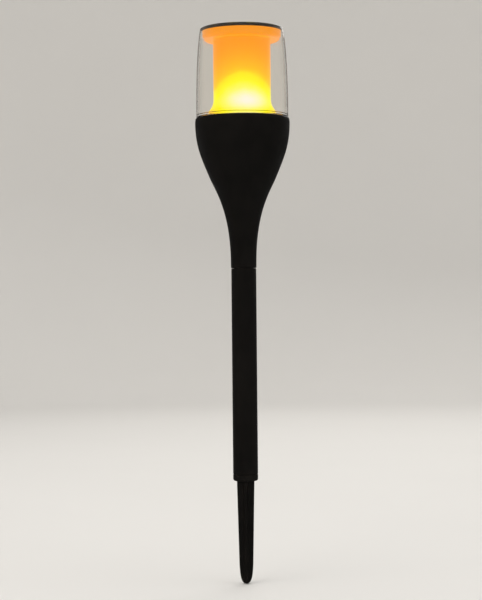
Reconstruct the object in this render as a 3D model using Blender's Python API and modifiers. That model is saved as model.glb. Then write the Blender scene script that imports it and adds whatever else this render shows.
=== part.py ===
"""A small solar garden torch whose lamp imitates a flame, built from its separate pieces.

Dimensions are in millimetres, and MM turns them into Blender's metres. The origin is on the
torch's axis at the ground line, under the spike's collar. +Z is up, and the front is at -Y.
"""

from math import cos, radians, sin

import bmesh
import bpy
from mathutils import Vector

MM = 0.001
GAP = 0.3  # room between two pieces that touch
ROUND = 36  # sides of a large turned piece
SLIM_ROUND = 24
SMALL_ROUND = 12
SHARP_ANGLE = radians(35)
WELD = 0.01

# Ground spike: two crossed ribs on a core, under a collar and a hollow plug
SPIKE_DEPTH = 81.4
SPIKE_HALF_WIDTH = 6.95
SPIKE_SHOULDER_HALF_WIDTH = 5.5
SPIKE_SHOULDER_DEPTH = 66.0
SPIKE_TIP_HALF_WIDTH = 2.2
RIB_THICKNESS = 2.6
CORE_TOP_RADIUS = 3.4
CORE_TIP_RADIUS = 2.0
COLLAR_HEIGHT = 5.0
COLLAR_CORNER = 1.7
PLUG_FLOOR = 9.0
PLUG_TOP = 31.0
PLUG_RADIUS = 8.0
PLUG_BORE = 6.2
PLUG_LEAD_IN = (0.8, 2.0)  # how far a plug or spigot narrows at its end, and over what length

# Pole
POLE_RADIUS = 9.9
POLE_BORE = 8.35
POLE_TOP = 168.5
POLE_CHAMFER = 0.3

# Torch cup, from its spigot inside the pole up to its rim
NECK_FOOT = POLE_TOP + GAP
NECK_RADIUS = 10.1
SPIGOT_BOTTOM = 144.8
SPIGOT_BORE = 6.4
NECK_STRAIGHT_TOP = 172.0
NECK_TOP_PULL = (21.9, 230.0)
NECK_FOOT_PULL = 214.0
FLARE = (26.1, 240.0)  # radius and height where the neck's curve meets the bowl's
BOWL_FOOT_PULL = (32.8, 256.0)
BOWL_RIM_PULL = 265.8
BOWL_WIDEST = 284.8
BOWL_RADIUS = 37.5
RIM = 287.9
RIM_CORNER = 1.5
SOCKET_RADIUS = 35.5
SOCKET_FLOOR = 276.0
SOCKET_FLARE = (0.5, 0.6)  # how far the socket opens at the rim, and over what height
WELL_RADIUS = 33.0
WELL_BOTTOM = 267.0
WELL_SHOULDER = (31.2, 258.0)  # inside the bowl, one wall in from its outside
CUP_WALL = 2.0
BORE_TOP_PULLS = ((6.0, 13.0), (1.0, 28.0))  # inward or outward and down, from each end
BORE_STRAIGHT_DROP = 44.0

# Bayonet: lugs on the lens's skirt turn under hooked ledges in the cup's socket
BAYONET_COUNT = 3
BEAD_RADIUS = 0.85
LUG_RADIUS = 34.25
LUG_HEIGHT = 280.6
LUG_HALF_ANGLE = 10.0
LEDGE_RADIUS = 35.25
LEDGE_HEIGHT = 282.9
LEDGE_NEAR_ANGLE = -24.0
LEDGE_FAR_ANGLE = -52.5
HOOK_ANGLE = 0.8  # degrees from a ledge's far end to its hook
BEAD_STEP = 4.0  # degrees between the points of a bead

# Rim seal
SEAL_RADIUS = 34.0
SEAL_SECTION = 0.7
SEAL_HEIGHT = SOCKET_FLOOR + GAP + SEAL_SECTION

# Clear lens, from its skirt in the socket up to the cap
SKIRT_BOTTOM = 278.0
SKIRT_RADIUS = 34.0
SKIRT_BORE = 32.6
LENS_WALL = 1.8
LENS_RADIUS = 36.4
LENS_FULL_HEIGHT = 292.0
LENS_SHOULDER = 357.9
LENS_SHOULDER_RADIUS = 33.0
LENS_SHOULDER_PULL = (35.3, 345.0)
LENS_FULL_PULL = 320.0
LENS_MOUTH_RADIUS = 32.55
LENS_MOUTH_DEPTH = 7.0
LENS_TOP = 358.3
LIP_BOTTOM = 285.0
LIP_TOP = 286.6
LIP_BORE = 28.7
STEP_TOP = 289.8
STEP_FILLET = 0.6

# Flame diffuser: foot flange, flared foot, straight tube and a dish under the cap
FLANGE_BOTTOM = 286.9
FLANGE_TOP = 288.9
FLANGE_RADIUS = 32.2
FOOT_RADIUS = 28.3
TUBE_FOOT = 302.0
TUBE_RADIUS = 22.7
FLARE_TOP_PULL = (0.2, 5.5)  # outward and down from the tube's foot
FLARE_FOOT_PULL = (1.9, 10.0)  # inward from the foot, and down from the tube's foot
DIFFUSER_WALL = 1.6
DISH_BOTTOM = 349.0
DISH_RADIUS = 30.9
DISH_CORNER = 3.0
DISH_INNER_RADIUS = 28.5
DISH_INNER_CORNER = 1.2
DISH_TOP = 356.0

# Top cap and solar panel
CAP_BOTTOM = 356.3
CAP_TOP = 358.8
CAP_RADIUS = 32.2
CAP_CORNER = 0.7
PANEL_RADIUS = 26.6
PANEL_SEAT = 357.6
LOCATING_RING_RADIUS = 29.3
LOCATING_RING_BORE = 27.9
LOCATING_RING_BOTTOM = 352.8
WIRE_HOLE_RADIUS = 2.4
WIRE_HOLE_REACH = 12.7
WIRE_HOLE_ANGLE = 45.0

# Lamp base and battery compartment
BASE_BOTTOM = 282.5
BASE_TOP = 284.7
BASE_RADIUS = 32.3
BASE_CORNER = 0.4
FUSE = 0.6  # how far a moulded-on part runs into the plate it stands on
BOX_HALF = (27.3, 7.7)
BOX_BOTTOM = 270.1
POCKET_HALF = (25.7, 6.1)
POCKET_TOP = 282.2
LID_POST_REACH = 10.4
LID_POST_RADIUS = 3.0
LID_PILOT_DEPTH = 8.0
LID_THICKNESS = 1.6
LID_EAR_RADIUS = 3.5
LID_TOP = BOX_BOTTOM - GAP

# Screws
SCREW_HEAD_RADIUS = 1.9
SCREW_HEAD_HEIGHT = 1.4
SCREW_RADIUS = 1.0
SCREW_HOLE_RADIUS = 1.35
BASE_SCREW_REACH = 30.2
BASE_SCREW_ANGLES = (30.0, 150.0, 270.0)
BASE_SCREW_END = 288.2
BOARD_SCREW_REACH = 17.0
BOARD_SCREW_END = 282.9
LID_SCREW_LENGTH = 9.0
RECESS_HALF = (1.1, 0.25)

# Light source
BOARD_BOTTOM = 285.0
BOARD_TOP = 286.6
BOARD_RADIUS = 21.5
LED_REACH = 9.0
LED_ANGLES = (-76.0, 44.0, 164.0)
LED_RADIUS = 2.5
LED_HEIGHT = 8.6
LED_FLANGE_RADIUS = 2.9
LED_FLANGE_HEIGHT = 1.0
CHIP_PLACE = (-5.5, -13.2)
CHIP_HALF = (2.45, 1.95)
CHIP_HEIGHT = 1.5
CAPACITOR_PLACE = (-9.0, 11.0)
CAPACITOR_SIZE = (2.5, 7.0)  # radius and height
INDUCTOR_PLACE = (13.0, -3.0)
INDUCTOR_PROFILE = (
    (0, 5.0),
    (2.6, 5.0),
    (2.6, 4.2),
    (1.8, 3.9),
    (1.8, 1.1),
    (2.6, 0.8),
    (2.6, 0),
    (0, 0),
)

# Battery: one AAA cell along X
CELL_RADIUS = 5.25
CELL_CENTRE = 276.3
CELL_ENDS = (-20.0, 23.5)
BUTTON_END = 24.5
BUTTON_RADIUS = 1.9
CONTACT_REACH = 25.05
CONTACT_THICKNESS = 0.5
CONTACT_HALF_WIDTH = 4.5
CONTACT_HEIGHTS = (270.9, 281.8)
CONTACT_TAB_HALF = 1.5
CONTACT_TAB_TOP = 286.0
TAB_SLOT_HALF = (0.65, 1.9)
CELL_CORNER = 0.5
SPRING_TURNS = 3.5
SPRING_STEPS = 8  # points in a turn
SPRING_WIRE = 0.3
SPRING_RADII = (4.0, 2.6)

# Slide switch under the base, stored at its on end
SWITCH_REACH = 18.0
SWITCH_HALF = (4.4, 2.2)
SWITCH_BOTTOM = 277.9
SWITCH_SLOT_HALF = (2.8, 1.3)
SWITCH_SLOT_DEPTH = 1.8
SWITCH_TRAVEL = 2.4
KNOB_HALF = (1.2, 0.95)
KNOB_BOTTOM = 275.0
KNOB_REACH = 1.4  # how far the knob stands up into the switch

# Leads: knots that each one's smooth route passes through
LEAD_RADIUS = 0.6
LEAD_SPACING = 0.8
LEAD_WALL_ROOM = 1.4
PANEL_LEAD_ANGLES = {"red": 42.0, "black": 48.0}
PANEL_LEAD_HEIGHTS = (353.5, 341.0, 300.0)
BATTERY_LEAD_KNOTS = ((23.8, 0, 285.9), (22.6, 0.6, 288.2), (20.0, 2.4, 289.0))
BATTERY_LEAD_END = (18.0, 3.4)

BLACK = (0.012, 0.011, 0.010)
FINISHES = {
    "black_plastic": {"colour": BLACK, "roughness": 0.45},
    "clear_plastic": {"colour": (0.95, 0.93, 0.88), "roughness": 0.05, "clear": 1.0},
    "milky_plastic": {"colour": (0.95, 0.72, 0.32), "roughness": 0.5, "glow": (1.0, 0.45, 0.02)},
    "solar_glass": {"colour": (0.02, 0.03, 0.07), "roughness": 0.12},
    "seal_rubber": {"colour": (0.02, 0.02, 0.02), "roughness": 0.8},
    "board": {"colour": (0.03, 0.16, 0.07), "roughness": 0.5},
    "amber_led": {"colour": (1.0, 0.62, 0.12), "roughness": 0.2, "glow": (1.0, 0.62, 0.1)},
    "component": {"colour": (0.03, 0.03, 0.035), "roughness": 0.4},
    "steel": {"colour": (0.62, 0.62, 0.64), "roughness": 0.3, "metallic": 1.0},
    "cell_wrap": {"colour": (0.05, 0.28, 0.14), "roughness": 0.35},
    "lead_red": {"colour": (0.5, 0.02, 0.015), "roughness": 0.5},
    "lead_black": {"colour": BLACK, "roughness": 0.5},
}


def start_clean():
    """Empties the scene and makes one collection for the torch and one for its cutters."""
    for thing in list(bpy.data.objects):
        bpy.data.objects.remove(thing)
    for name in ("solar_torch", "cutters"):
        bpy.context.scene.collection.children.link(bpy.data.collections.new(name))


def finish(name):
    """The Principled material of that name, made on first use."""
    made = bpy.data.materials.get(name)
    if made:
        return made
    look = FINISHES[name]
    made = bpy.data.materials.new(name)
    made.use_nodes = True
    shader = made.node_tree.nodes["Principled BSDF"]
    shader.inputs["Base Color"].default_value = (*look["colour"], 1.0)
    shader.inputs["Roughness"].default_value = look["roughness"]
    shader.inputs["Metallic"].default_value = look.get("metallic", 0.0)
    shader.inputs["Transmission Weight"].default_value = look.get("clear", 0.0)
    if "glow" in look:
        shader.inputs["Emission Color"].default_value = (*look["glow"], 1.0)
        shader.inputs["Emission Strength"].default_value = 1.0
    return made


def pivot(name, place, parent=None):
    """An empty on a joint's axis, which carries the pieces of one moving body."""
    empty = bpy.data.objects.new(name, None)
    empty.empty_display_size = 10 * MM
    bpy.data.collections["solar_torch"].objects.link(empty)
    put(empty, place, parent)
    return empty


def put(thing, place, parent):
    """Sets thing under parent with its origin at place, which is in world millimetres."""
    thing["place"] = place
    thing.parent = parent
    held_at = Vector(parent["place"]) if parent else Vector()
    thing.location = (Vector(place) - held_at) * MM


def add(name, data, material, parent, place=(0, 0, 0), turn=(0, 0, 0)):
    """One named piece of the torch, from its mesh or curve."""
    piece = bpy.data.objects.new(name, data)
    if not data.materials:
        data.materials.append(finish(material))
    bpy.data.collections["solar_torch"].objects.link(piece)
    piece.rotation_euler = turn
    put(piece, place, parent)
    return piece


def add_cutter(name, data, place=(0, 0, 0), turn=(0, 0, 0)):
    """A shape that is only joined to a piece or cut from one."""
    cutter = bpy.data.objects.new(name, data)
    bpy.data.collections["cutters"].objects.link(cutter)
    cutter.location = Vector(place) * MM
    cutter.rotation_euler = turn
    cutter.hide_render = True
    cutter.display_type = "WIRE"
    return cutter


def combine(piece, operation, *others):
    """Joins the other solids to a piece with UNION, or cuts them from it with DIFFERENCE."""
    for other in others:
        modifier = piece.modifiers.new(f"{operation.title()} {other.name}", "BOOLEAN")
        modifier.operation = operation
        modifier.object = other


def evaluated_mesh(thing):
    """A new mesh of what the object's modifiers or curve make."""
    graph = bpy.context.evaluated_depsgraph_get()
    return bpy.data.meshes.new_from_object(thing.evaluated_get(graph), depsgraph=graph)


def turned_mesh(name, profile, steps, ring=False):
    """A mesh turned about Z. The profile's (radius, height) points run down its outer side.

    A ring's profile is a loop round its section. Any other profile ends on the axis.
    """
    mesh = bpy.data.meshes.new(name)
    edges = [(i, i + 1) for i in range(len(profile) - 1)]
    if ring:
        edges.append((len(profile) - 1, 0))
    mesh.from_pydata([(r * MM, 0, z * MM) for r, z in profile], edges, [])
    lathe = add_cutter(name, mesh)
    screw = lathe.modifiers.new("Turn", "SCREW")
    screw.steps = steps
    screw.render_steps = steps
    screw.use_merge_vertices = True
    screw.merge_threshold = WELD * MM
    solid = evaluated_mesh(lathe)
    bpy.data.objects.remove(lathe)
    solid.shade_smooth()
    solid.set_sharp_from_angle(angle=SHARP_ANGLE)
    return solid


def box_mesh(name, half, low, high, bevel=0.0):
    """A box of half sizes x and y between two heights, with its edges rounded by bevel."""
    shape = bmesh.new()
    bmesh.ops.create_cube(shape, size=2 * MM)
    middle, tall = (low + high) / 2, (high - low) / 2
    bmesh.ops.scale(shape, vec=(half[0], half[1], tall), verts=shape.verts)
    bmesh.ops.translate(shape, vec=(0, 0, middle * MM), verts=shape.verts)
    if bevel:
        bmesh.ops.bevel(
            shape,
            geom=shape.edges[:],
            offset=bevel * MM,
            segments=2,
            profile=0.5,
            affect="EDGES",
        )
    mesh = bpy.data.meshes.new(name)
    shape.to_mesh(mesh)
    shape.free()
    return mesh


def post_mesh(name, radius, low, high, top_radius=None, steps=SMALL_ROUND):
    """A round post, or a cone with another radius at its top."""
    shape = bmesh.new()
    bmesh.ops.create_cone(
        shape,
        cap_ends=True,
        segments=steps,
        radius1=radius * MM,
        radius2=(radius if top_radius is None else top_radius) * MM,
        depth=(high - low) * MM,
    )
    bmesh.ops.translate(shape, vec=(0, 0, (low + high) / 2 * MM), verts=shape.verts)
    mesh = bpy.data.meshes.new(name)
    shape.to_mesh(mesh)
    shape.free()
    mesh.shade_smooth()
    mesh.set_sharp_from_angle(angle=SHARP_ANGLE)
    return mesh


def wire_curve(name, points, radius):
    """A round wire through the points."""
    curve = bpy.data.curves.new(name, "CURVE")
    curve.dimensions = "3D"
    curve.bevel_depth = radius * MM
    curve.bevel_resolution = 2
    curve.use_fill_caps = True
    fill_spline(curve, points)
    return curve


def fill_spline(curve, points):
    """Gives a curve one straight-sided spline through the points, in millimetres."""
    spline = curve.splines.new("POLY")
    spline.points.add(len(points) - 1)
    for knot, point in zip(spline.points, points):
        knot.co = (*(Vector(point) * MM), 1.0)
    return spline


def joining_solid(name, curve, turn=(0, 0, 0)):
    """A curve as a closed mesh among the cutters, ready to be joined to a piece."""
    drawn = add_cutter(f"{name}_curve", curve, turn=turn)
    bpy.context.view_layer.update()
    solid = add_cutter(name, evaluated_mesh(drawn))
    shape = bmesh.new()
    shape.from_mesh(solid.data)
    bmesh.ops.remove_doubles(shape, verts=shape.verts, dist=WELD * MM)
    shape.to_mesh(solid.data)
    shape.free()
    solid.matrix_world = drawn.matrix_world
    bpy.data.objects.remove(drawn)
    return solid


def bezier(start, pull_start, pull_end, end, count):
    """Points along a cubic curve, from start up to just before end."""
    points = []
    for i in range(count):
        t = i / count
        weights = ((1 - t) ** 3, 3 * t * (1 - t) ** 2, 3 * t * t * (1 - t), t**3)
        corners = (start, pull_start, pull_end, end)
        size = len(start)
        points.append(tuple(sum(w * c[k] for w, c in zip(weights, corners)) for k in range(size)))
    return points


def arc(centre, radius, first, last, count):
    """Points along a round corner from one angle to another, in degrees, both included."""
    angles = [radians(first + (last - first) * i / count) for i in range(count + 1)]
    return [(centre[0] + radius * cos(a), centre[1] + radius * sin(a)) for a in angles]


def polar(reach, angle, height=0.0):
    """The point at that distance from the axis and that angle in degrees."""
    return (reach * cos(radians(angle)), reach * sin(radians(angle)), height)


def smooth_route(knots, per_span):
    """Points on a smooth curve through the knots, so that a lead bends like a lead."""
    ends = [Vector(knots[0]), *map(Vector, knots), Vector(knots[-1])]
    route = []
    for before, a, b, after in zip(ends, ends[1:], ends[2:], ends[3:]):
        route += bezier(a, a + (b - before) / 6, b - (after - a) / 6, b, per_span)
    return [*route, ends[-1]]


def make_spike():
    """The ground spike: collar and hollow plug turned in one, over a cross of tapered ribs."""
    profile = [
        (0, PLUG_FLOOR),
        (PLUG_BORE, PLUG_FLOOR),
        (PLUG_BORE, PLUG_TOP),
        (PLUG_RADIUS - PLUG_LEAD_IN[0], PLUG_TOP),
        (PLUG_RADIUS, PLUG_TOP - PLUG_LEAD_IN[1]),
        (PLUG_RADIUS, COLLAR_HEIGHT),
        (POLE_RADIUS, COLLAR_HEIGHT),
        *arc((POLE_RADIUS - COLLAR_CORNER, COLLAR_CORNER), COLLAR_CORNER, 0, -90, 4),
        (0, 0),
    ]
    spike = add("ground_spike", turned_mesh("spike", profile, SLIM_ROUND), "black_plastic", None)
    side = [(SPIKE_HALF_WIDTH, 1.0)]
    side += bezier(
        (SPIKE_SHOULDER_HALF_WIDTH, -SPIKE_SHOULDER_DEPTH),
        (SPIKE_SHOULDER_HALF_WIDTH - 0.4, 7 - SPIKE_DEPTH),
        (SPIKE_TIP_HALF_WIDTH + 2.2, 2 - SPIKE_DEPTH),
        (SPIKE_TIP_HALF_WIDTH, -SPIKE_DEPTH),
        6,
    )
    side.append((SPIKE_TIP_HALF_WIDTH, -SPIKE_DEPTH))
    outline = [(x, z, 0) for x, z in side] + [(-x, z, 0) for x, z in reversed(side)]
    for name, heading in (("rib_across", 0), ("rib_along", 90)):
        plate = bpy.data.curves.new(name, "CURVE")
        plate.dimensions = "2D"
        plate.fill_mode = "BOTH"
        plate.extrude = RIB_THICKNESS / 2 * MM
        fill_spline(plate, outline).use_cyclic_u = True
        rib = joining_solid(name, plate, turn=(radians(90), 0, radians(heading)))
        combine(spike, "UNION", rib)
    core = post_mesh(
        "spike_core", CORE_TIP_RADIUS, 4 - SPIKE_DEPTH, 1, top_radius=CORE_TOP_RADIUS
    )
    combine(spike, "UNION", add_cutter("spike_core", core))


def make_pole(pole):
    """The round pole, a plain tube that stands on the spike's collar."""
    bottom = COLLAR_HEIGHT + GAP
    profile = [
        (POLE_RADIUS - POLE_CHAMFER, POLE_TOP),
        (POLE_RADIUS, POLE_TOP - POLE_CHAMFER),
        (POLE_RADIUS, bottom + POLE_CHAMFER),
        (POLE_RADIUS - POLE_CHAMFER, bottom),
        (POLE_BORE, bottom),
        (POLE_BORE, POLE_TOP),
    ]
    add("pole_tube", turned_mesh("pole", profile, SLIM_ROUND, ring=True), "black_plastic", pole)


def cup_profile():
    """The cup's section: down its tulip outside and spigot, and up its stepped inside."""
    rim_centre = (BOWL_RADIUS - RIM_CORNER - 0.2, RIM - RIM_CORNER)
    bore_top = (FLARE[0] - CUP_WALL, FLARE[1])
    top_pull, foot_pull = BORE_TOP_PULLS
    return [
        *arc(rim_centre, RIM_CORNER, 90, 20, 3),
        *bezier(
            (BOWL_RADIUS, BOWL_WIDEST), (BOWL_RADIUS, BOWL_RIM_PULL), BOWL_FOOT_PULL, FLARE, 8
        ),
        *bezier(
            FLARE,
            NECK_TOP_PULL,
            (NECK_RADIUS, NECK_FOOT_PULL),
            (NECK_RADIUS, NECK_STRAIGHT_TOP),
            8,
        ),
        (NECK_RADIUS, NECK_STRAIGHT_TOP),
        (NECK_RADIUS, NECK_FOOT),
        (PLUG_RADIUS, NECK_FOOT),
        (PLUG_RADIUS, SPIGOT_BOTTOM + PLUG_LEAD_IN[1]),
        (PLUG_RADIUS - PLUG_LEAD_IN[0], SPIGOT_BOTTOM),
        (SPIGOT_BORE, SPIGOT_BOTTOM),
        *reversed(
            bezier(
                bore_top,
                (bore_top[0] - top_pull[0], FLARE[1] - top_pull[1]),
                (SPIGOT_BORE + foot_pull[0], FLARE[1] - foot_pull[1]),
                (SPIGOT_BORE, FLARE[1] - BORE_STRAIGHT_DROP),
                6,
            )
        ),
        WELL_SHOULDER,
        (WELL_RADIUS, WELL_BOTTOM),
        (WELL_RADIUS, SOCKET_FLOOR),
        (SOCKET_RADIUS, SOCKET_FLOOR),
        (SOCKET_RADIUS, RIM - SOCKET_FLARE[1]),
        (SOCKET_RADIUS + SOCKET_FLARE[0], RIM),
    ]


def bead(name, points):
    """A short round bar through the points, to join to a wall as a lug or a ledge."""
    return joining_solid(name, wire_curve(name, points, BEAD_RADIUS))


def bead_arc(reach, height, first, last):
    """Points along a level arc from one angle to another, a few degrees apart."""
    count = max(2, round(abs(last - first) / BEAD_STEP))
    return [polar(reach, first + (last - first) * i / count, height) for i in range(count + 1)]


def make_cup(cup):
    """The tulip cup with the bayonet's hooked ledges inside its rim."""
    body = add("torch_cup", turned_mesh("cup", cup_profile(), ROUND, ring=True), "black_plastic", cup)
    for i in range(BAYONET_COUNT):
        start = 360 * i / BAYONET_COUNT
        ledge = bead_arc(
            LEDGE_RADIUS, LEDGE_HEIGHT, start + LEDGE_NEAR_ANGLE, start + LEDGE_FAR_ANGLE
        )
        ledge.append(polar(LEDGE_RADIUS, start + LEDGE_FAR_ANGLE - HOOK_ANGLE, LUG_HEIGHT))
        combine(body, "UNION", bead(f"ledge_{i + 1}", ledge))


def make_seal(seal):
    """The rubber ring between the lens's skirt and the socket's floor."""
    section = arc((SEAL_RADIUS, 0), SEAL_SECTION, 90, -210, 5)
    ring = turned_mesh("seal", section, ROUND, ring=True)
    add("rim_seal", ring, "seal_rubber", seal, (0, 0, SEAL_HEIGHT))


def make_lens(head):
    """The clear barrel lens, with a stepped skirt, an inner lip and the bayonet's lugs."""
    full = (LENS_RADIUS, LENS_FULL_HEIGHT)
    shoulder = (LENS_SHOULDER_RADIUS, LENS_SHOULDER)
    outside = bezier(shoulder, LENS_SHOULDER_PULL, (LENS_RADIUS, LENS_FULL_PULL), full, 7)
    inside = [(r - LENS_WALL, z) for r, z in reversed(outside[2:])]
    profile = [
        (LENS_SHOULDER_RADIUS - 0.1, LENS_TOP),
        *outside,
        full,
        (LENS_RADIUS, RIM + GAP),
        (SKIRT_RADIUS, RIM + GAP),
        (SKIRT_RADIUS, SKIRT_BOTTOM),
        (SKIRT_BORE, SKIRT_BOTTOM),
        (SKIRT_BORE, LIP_BOTTOM),
        (LIP_BORE, LIP_BOTTOM),
        (LIP_BORE, LIP_TOP),
        (SKIRT_BORE, LIP_TOP),
        (SKIRT_BORE, STEP_TOP),
        (LENS_RADIUS - LENS_WALL - STEP_FILLET, STEP_TOP),
        (LENS_RADIUS - LENS_WALL, STEP_TOP + STEP_FILLET),
        *inside,
        (LENS_MOUTH_RADIUS, LENS_SHOULDER - LENS_MOUTH_DEPTH),
        (LENS_MOUTH_RADIUS, LENS_TOP),
    ]
    lens = add("clear_lens", turned_mesh("lens", profile, ROUND, ring=True), "clear_plastic", head)
    for i in range(BAYONET_COUNT):
        middle = 360 * i / BAYONET_COUNT
        lug = bead_arc(LUG_RADIUS, LUG_HEIGHT, middle - LUG_HALF_ANGLE, middle + LUG_HALF_ANGLE)
        combine(lens, "UNION", bead(f"lug_{i + 1}", lug))
    for i, angle in enumerate(BASE_SCREW_ANGLES):
        hole = post_mesh("lip_hole", SCREW_HOLE_RADIUS, LIP_BOTTOM - 1, LIP_TOP + 1)
        cutter = add_cutter(f"lip_hole_{i + 1}", hole, polar(BASE_SCREW_REACH, angle))
        combine(lens, "DIFFERENCE", cutter)


def make_diffuser(head):
    """The milky spool that the flicker LEDs light from inside."""
    bore = TUBE_RADIUS - DIFFUSER_WALL
    flare = bezier(
        (TUBE_RADIUS, TUBE_FOOT),
        (TUBE_RADIUS + FLARE_TOP_PULL[0], TUBE_FOOT - FLARE_TOP_PULL[1]),
        (FOOT_RADIUS - FLARE_FOOT_PULL[0], TUBE_FOOT - FLARE_FOOT_PULL[1]),
        (FOOT_RADIUS, FLANGE_TOP),
        4,
    )
    inner_corner = (DISH_INNER_RADIUS, DISH_BOTTOM + DIFFUSER_WALL + DISH_INNER_CORNER)
    profile = [
        (DISH_RADIUS, DISH_TOP),
        *arc((DISH_RADIUS - DISH_CORNER, DISH_BOTTOM + DISH_CORNER), DISH_CORNER, 0, -90, 3),
        (TUBE_RADIUS + 1, DISH_BOTTOM),
        (TUBE_RADIUS, DISH_BOTTOM - 1),
        *flare,
        (FOOT_RADIUS, FLANGE_TOP),
        (FLANGE_RADIUS, FLANGE_TOP),
        (FLANGE_RADIUS, FLANGE_BOTTOM),
        (FOOT_RADIUS - DIFFUSER_WALL, FLANGE_BOTTOM),
        *[(r - DIFFUSER_WALL, z) for r, z in reversed(flare)],
        (bore, DISH_BOTTOM + DIFFUSER_WALL),
        *arc(inner_corner, DISH_INNER_CORNER, -90, 0, 2),
        (DISH_INNER_RADIUS + DISH_INNER_CORNER, DISH_TOP),
    ]
    spool = add(
        "flame_diffuser", turned_mesh("spool", profile, ROUND, ring=True), "milky_plastic", head
    )
    for i, angle in enumerate(BASE_SCREW_ANGLES):
        pilot = post_mesh("pilot", SCREW_HOLE_RADIUS, FLANGE_BOTTOM - 1, BASE_SCREW_END + GAP)
        cutter = add_cutter(f"flange_pilot_{i + 1}", pilot, polar(BASE_SCREW_REACH, angle))
        combine(spool, "DIFFERENCE", cutter)


def make_cap(head):
    """The top cap with its panel recess, its locating ring and the hole for the leads."""
    profile = [
        (0, PANEL_SEAT),
        (PANEL_RADIUS + GAP, PANEL_SEAT),
        (PANEL_RADIUS + GAP, CAP_TOP),
        (CAP_RADIUS - CAP_CORNER, CAP_TOP),
        (CAP_RADIUS, CAP_TOP - CAP_CORNER),
        (CAP_RADIUS, CAP_BOTTOM + 0.3),
        (CAP_RADIUS - 0.3, CAP_BOTTOM),
        (LOCATING_RING_RADIUS, CAP_BOTTOM),
        (LOCATING_RING_RADIUS, LOCATING_RING_BOTTOM),
        (LOCATING_RING_BORE, LOCATING_RING_BOTTOM),
        (LOCATING_RING_BORE, CAP_BOTTOM),
        (0, CAP_BOTTOM),
    ]
    cap = add("top_cap", turned_mesh("cap", profile, ROUND), "black_plastic", head)
    hole = post_mesh("wire_hole", WIRE_HOLE_RADIUS, CAP_BOTTOM - 1, PANEL_SEAT + 1)
    combine(cap, "DIFFERENCE", add_cutter("wire_hole", hole, polar(WIRE_HOLE_REACH, WIRE_HOLE_ANGLE)))
    panel = post_mesh("panel", PANEL_RADIUS, PANEL_SEAT + GAP, CAP_TOP, steps=ROUND)
    add("solar_panel", panel, "solar_glass", head)


def make_base(head):
    """The lamp base with the battery compartment and the lid's screw posts moulded on it."""
    profile = [
        (0, BASE_TOP),
        (BASE_RADIUS - BASE_CORNER, BASE_TOP),
        (BASE_RADIUS, BASE_TOP - BASE_CORNER),
        (BASE_RADIUS, BASE_BOTTOM),
        (0, BASE_BOTTOM),
    ]
    base = add("lamp_base", turned_mesh("base", profile, ROUND), "black_plastic", head)
    joined_top = BASE_BOTTOM + FUSE
    box = box_mesh("box", BOX_HALF, BOX_BOTTOM, joined_top)
    combine(base, "UNION", add_cutter("battery_box", box))
    for side, name in ((-1, "front"), (1, "back")):
        post = post_mesh("post", LID_POST_RADIUS, BOX_BOTTOM, joined_top)
        cutter = add_cutter(f"lid_post_{name}", post, (0, side * LID_POST_REACH, 0))
        combine(base, "UNION", cutter)
    pocket = box_mesh("pocket", POCKET_HALF, BOX_BOTTOM - 2, POCKET_TOP)
    combine(base, "DIFFERENCE", add_cutter("battery_pocket", pocket))
    for side, name in ((-1, "front"), (1, "back")):
        pilot = post_mesh("pilot", SCREW_HOLE_RADIUS, BOX_BOTTOM - 1, BOX_BOTTOM + LID_PILOT_DEPTH)
        cutter = add_cutter(f"lid_pilot_{name}", pilot, (0, side * LID_POST_REACH, 0))
        combine(base, "DIFFERENCE", cutter)
        pilot = post_mesh("pilot", SCREW_HOLE_RADIUS, BOARD_SCREW_END, BASE_TOP + 1)
        cutter = add_cutter(f"board_pilot_{name}", pilot, (0, side * BOARD_SCREW_REACH, 0))
        combine(base, "DIFFERENCE", cutter)
    for side, name in ((-1, "left"), (1, "right")):
        slot = box_mesh("slot", TAB_SLOT_HALF, POCKET_TOP - 1, BASE_TOP + 1)
        cutter = add_cutter(f"tab_slot_{name}", slot, (side * CONTACT_REACH, 0, 0))
        combine(base, "DIFFERENCE", cutter)
    for i, angle in enumerate(BASE_SCREW_ANGLES):
        hole = post_mesh("base_hole", SCREW_HOLE_RADIUS, BASE_BOTTOM - 1, BASE_TOP + 1)
        cutter = add_cutter(f"base_hole_{i + 1}", hole, polar(BASE_SCREW_REACH, angle))
        combine(base, "DIFFERENCE", cutter)


def make_lid(head):
    """The battery lid, a plate with one screw ear on each side."""
    low, high = LID_TOP - LID_THICKNESS, LID_TOP
    lid = add("battery_lid", box_mesh("lid", BOX_HALF, low, high, bevel=0.4), "black_plastic", head)
    for side, name in ((-1, "front"), (1, "back")):
        at = (0, side * LID_POST_REACH, 0)
        ear = add_cutter(f"lid_ear_{name}", post_mesh("ear", LID_EAR_RADIUS, low, high), at)
        bridge = box_mesh("bridge", (LID_EAR_RADIUS, 2.5), low + 0.05, high - 0.05)
        neck = add_cutter(f"lid_bridge_{name}", bridge, (0, side * (LID_POST_REACH - 2), 0))
        hole = post_mesh("lid_hole", SCREW_HOLE_RADIUS, low - 1, high + 1)
        combine(lid, "UNION", ear, neck)
        combine(lid, "DIFFERENCE", add_cutter(f"lid_hole_{name}", hole, at))


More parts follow.
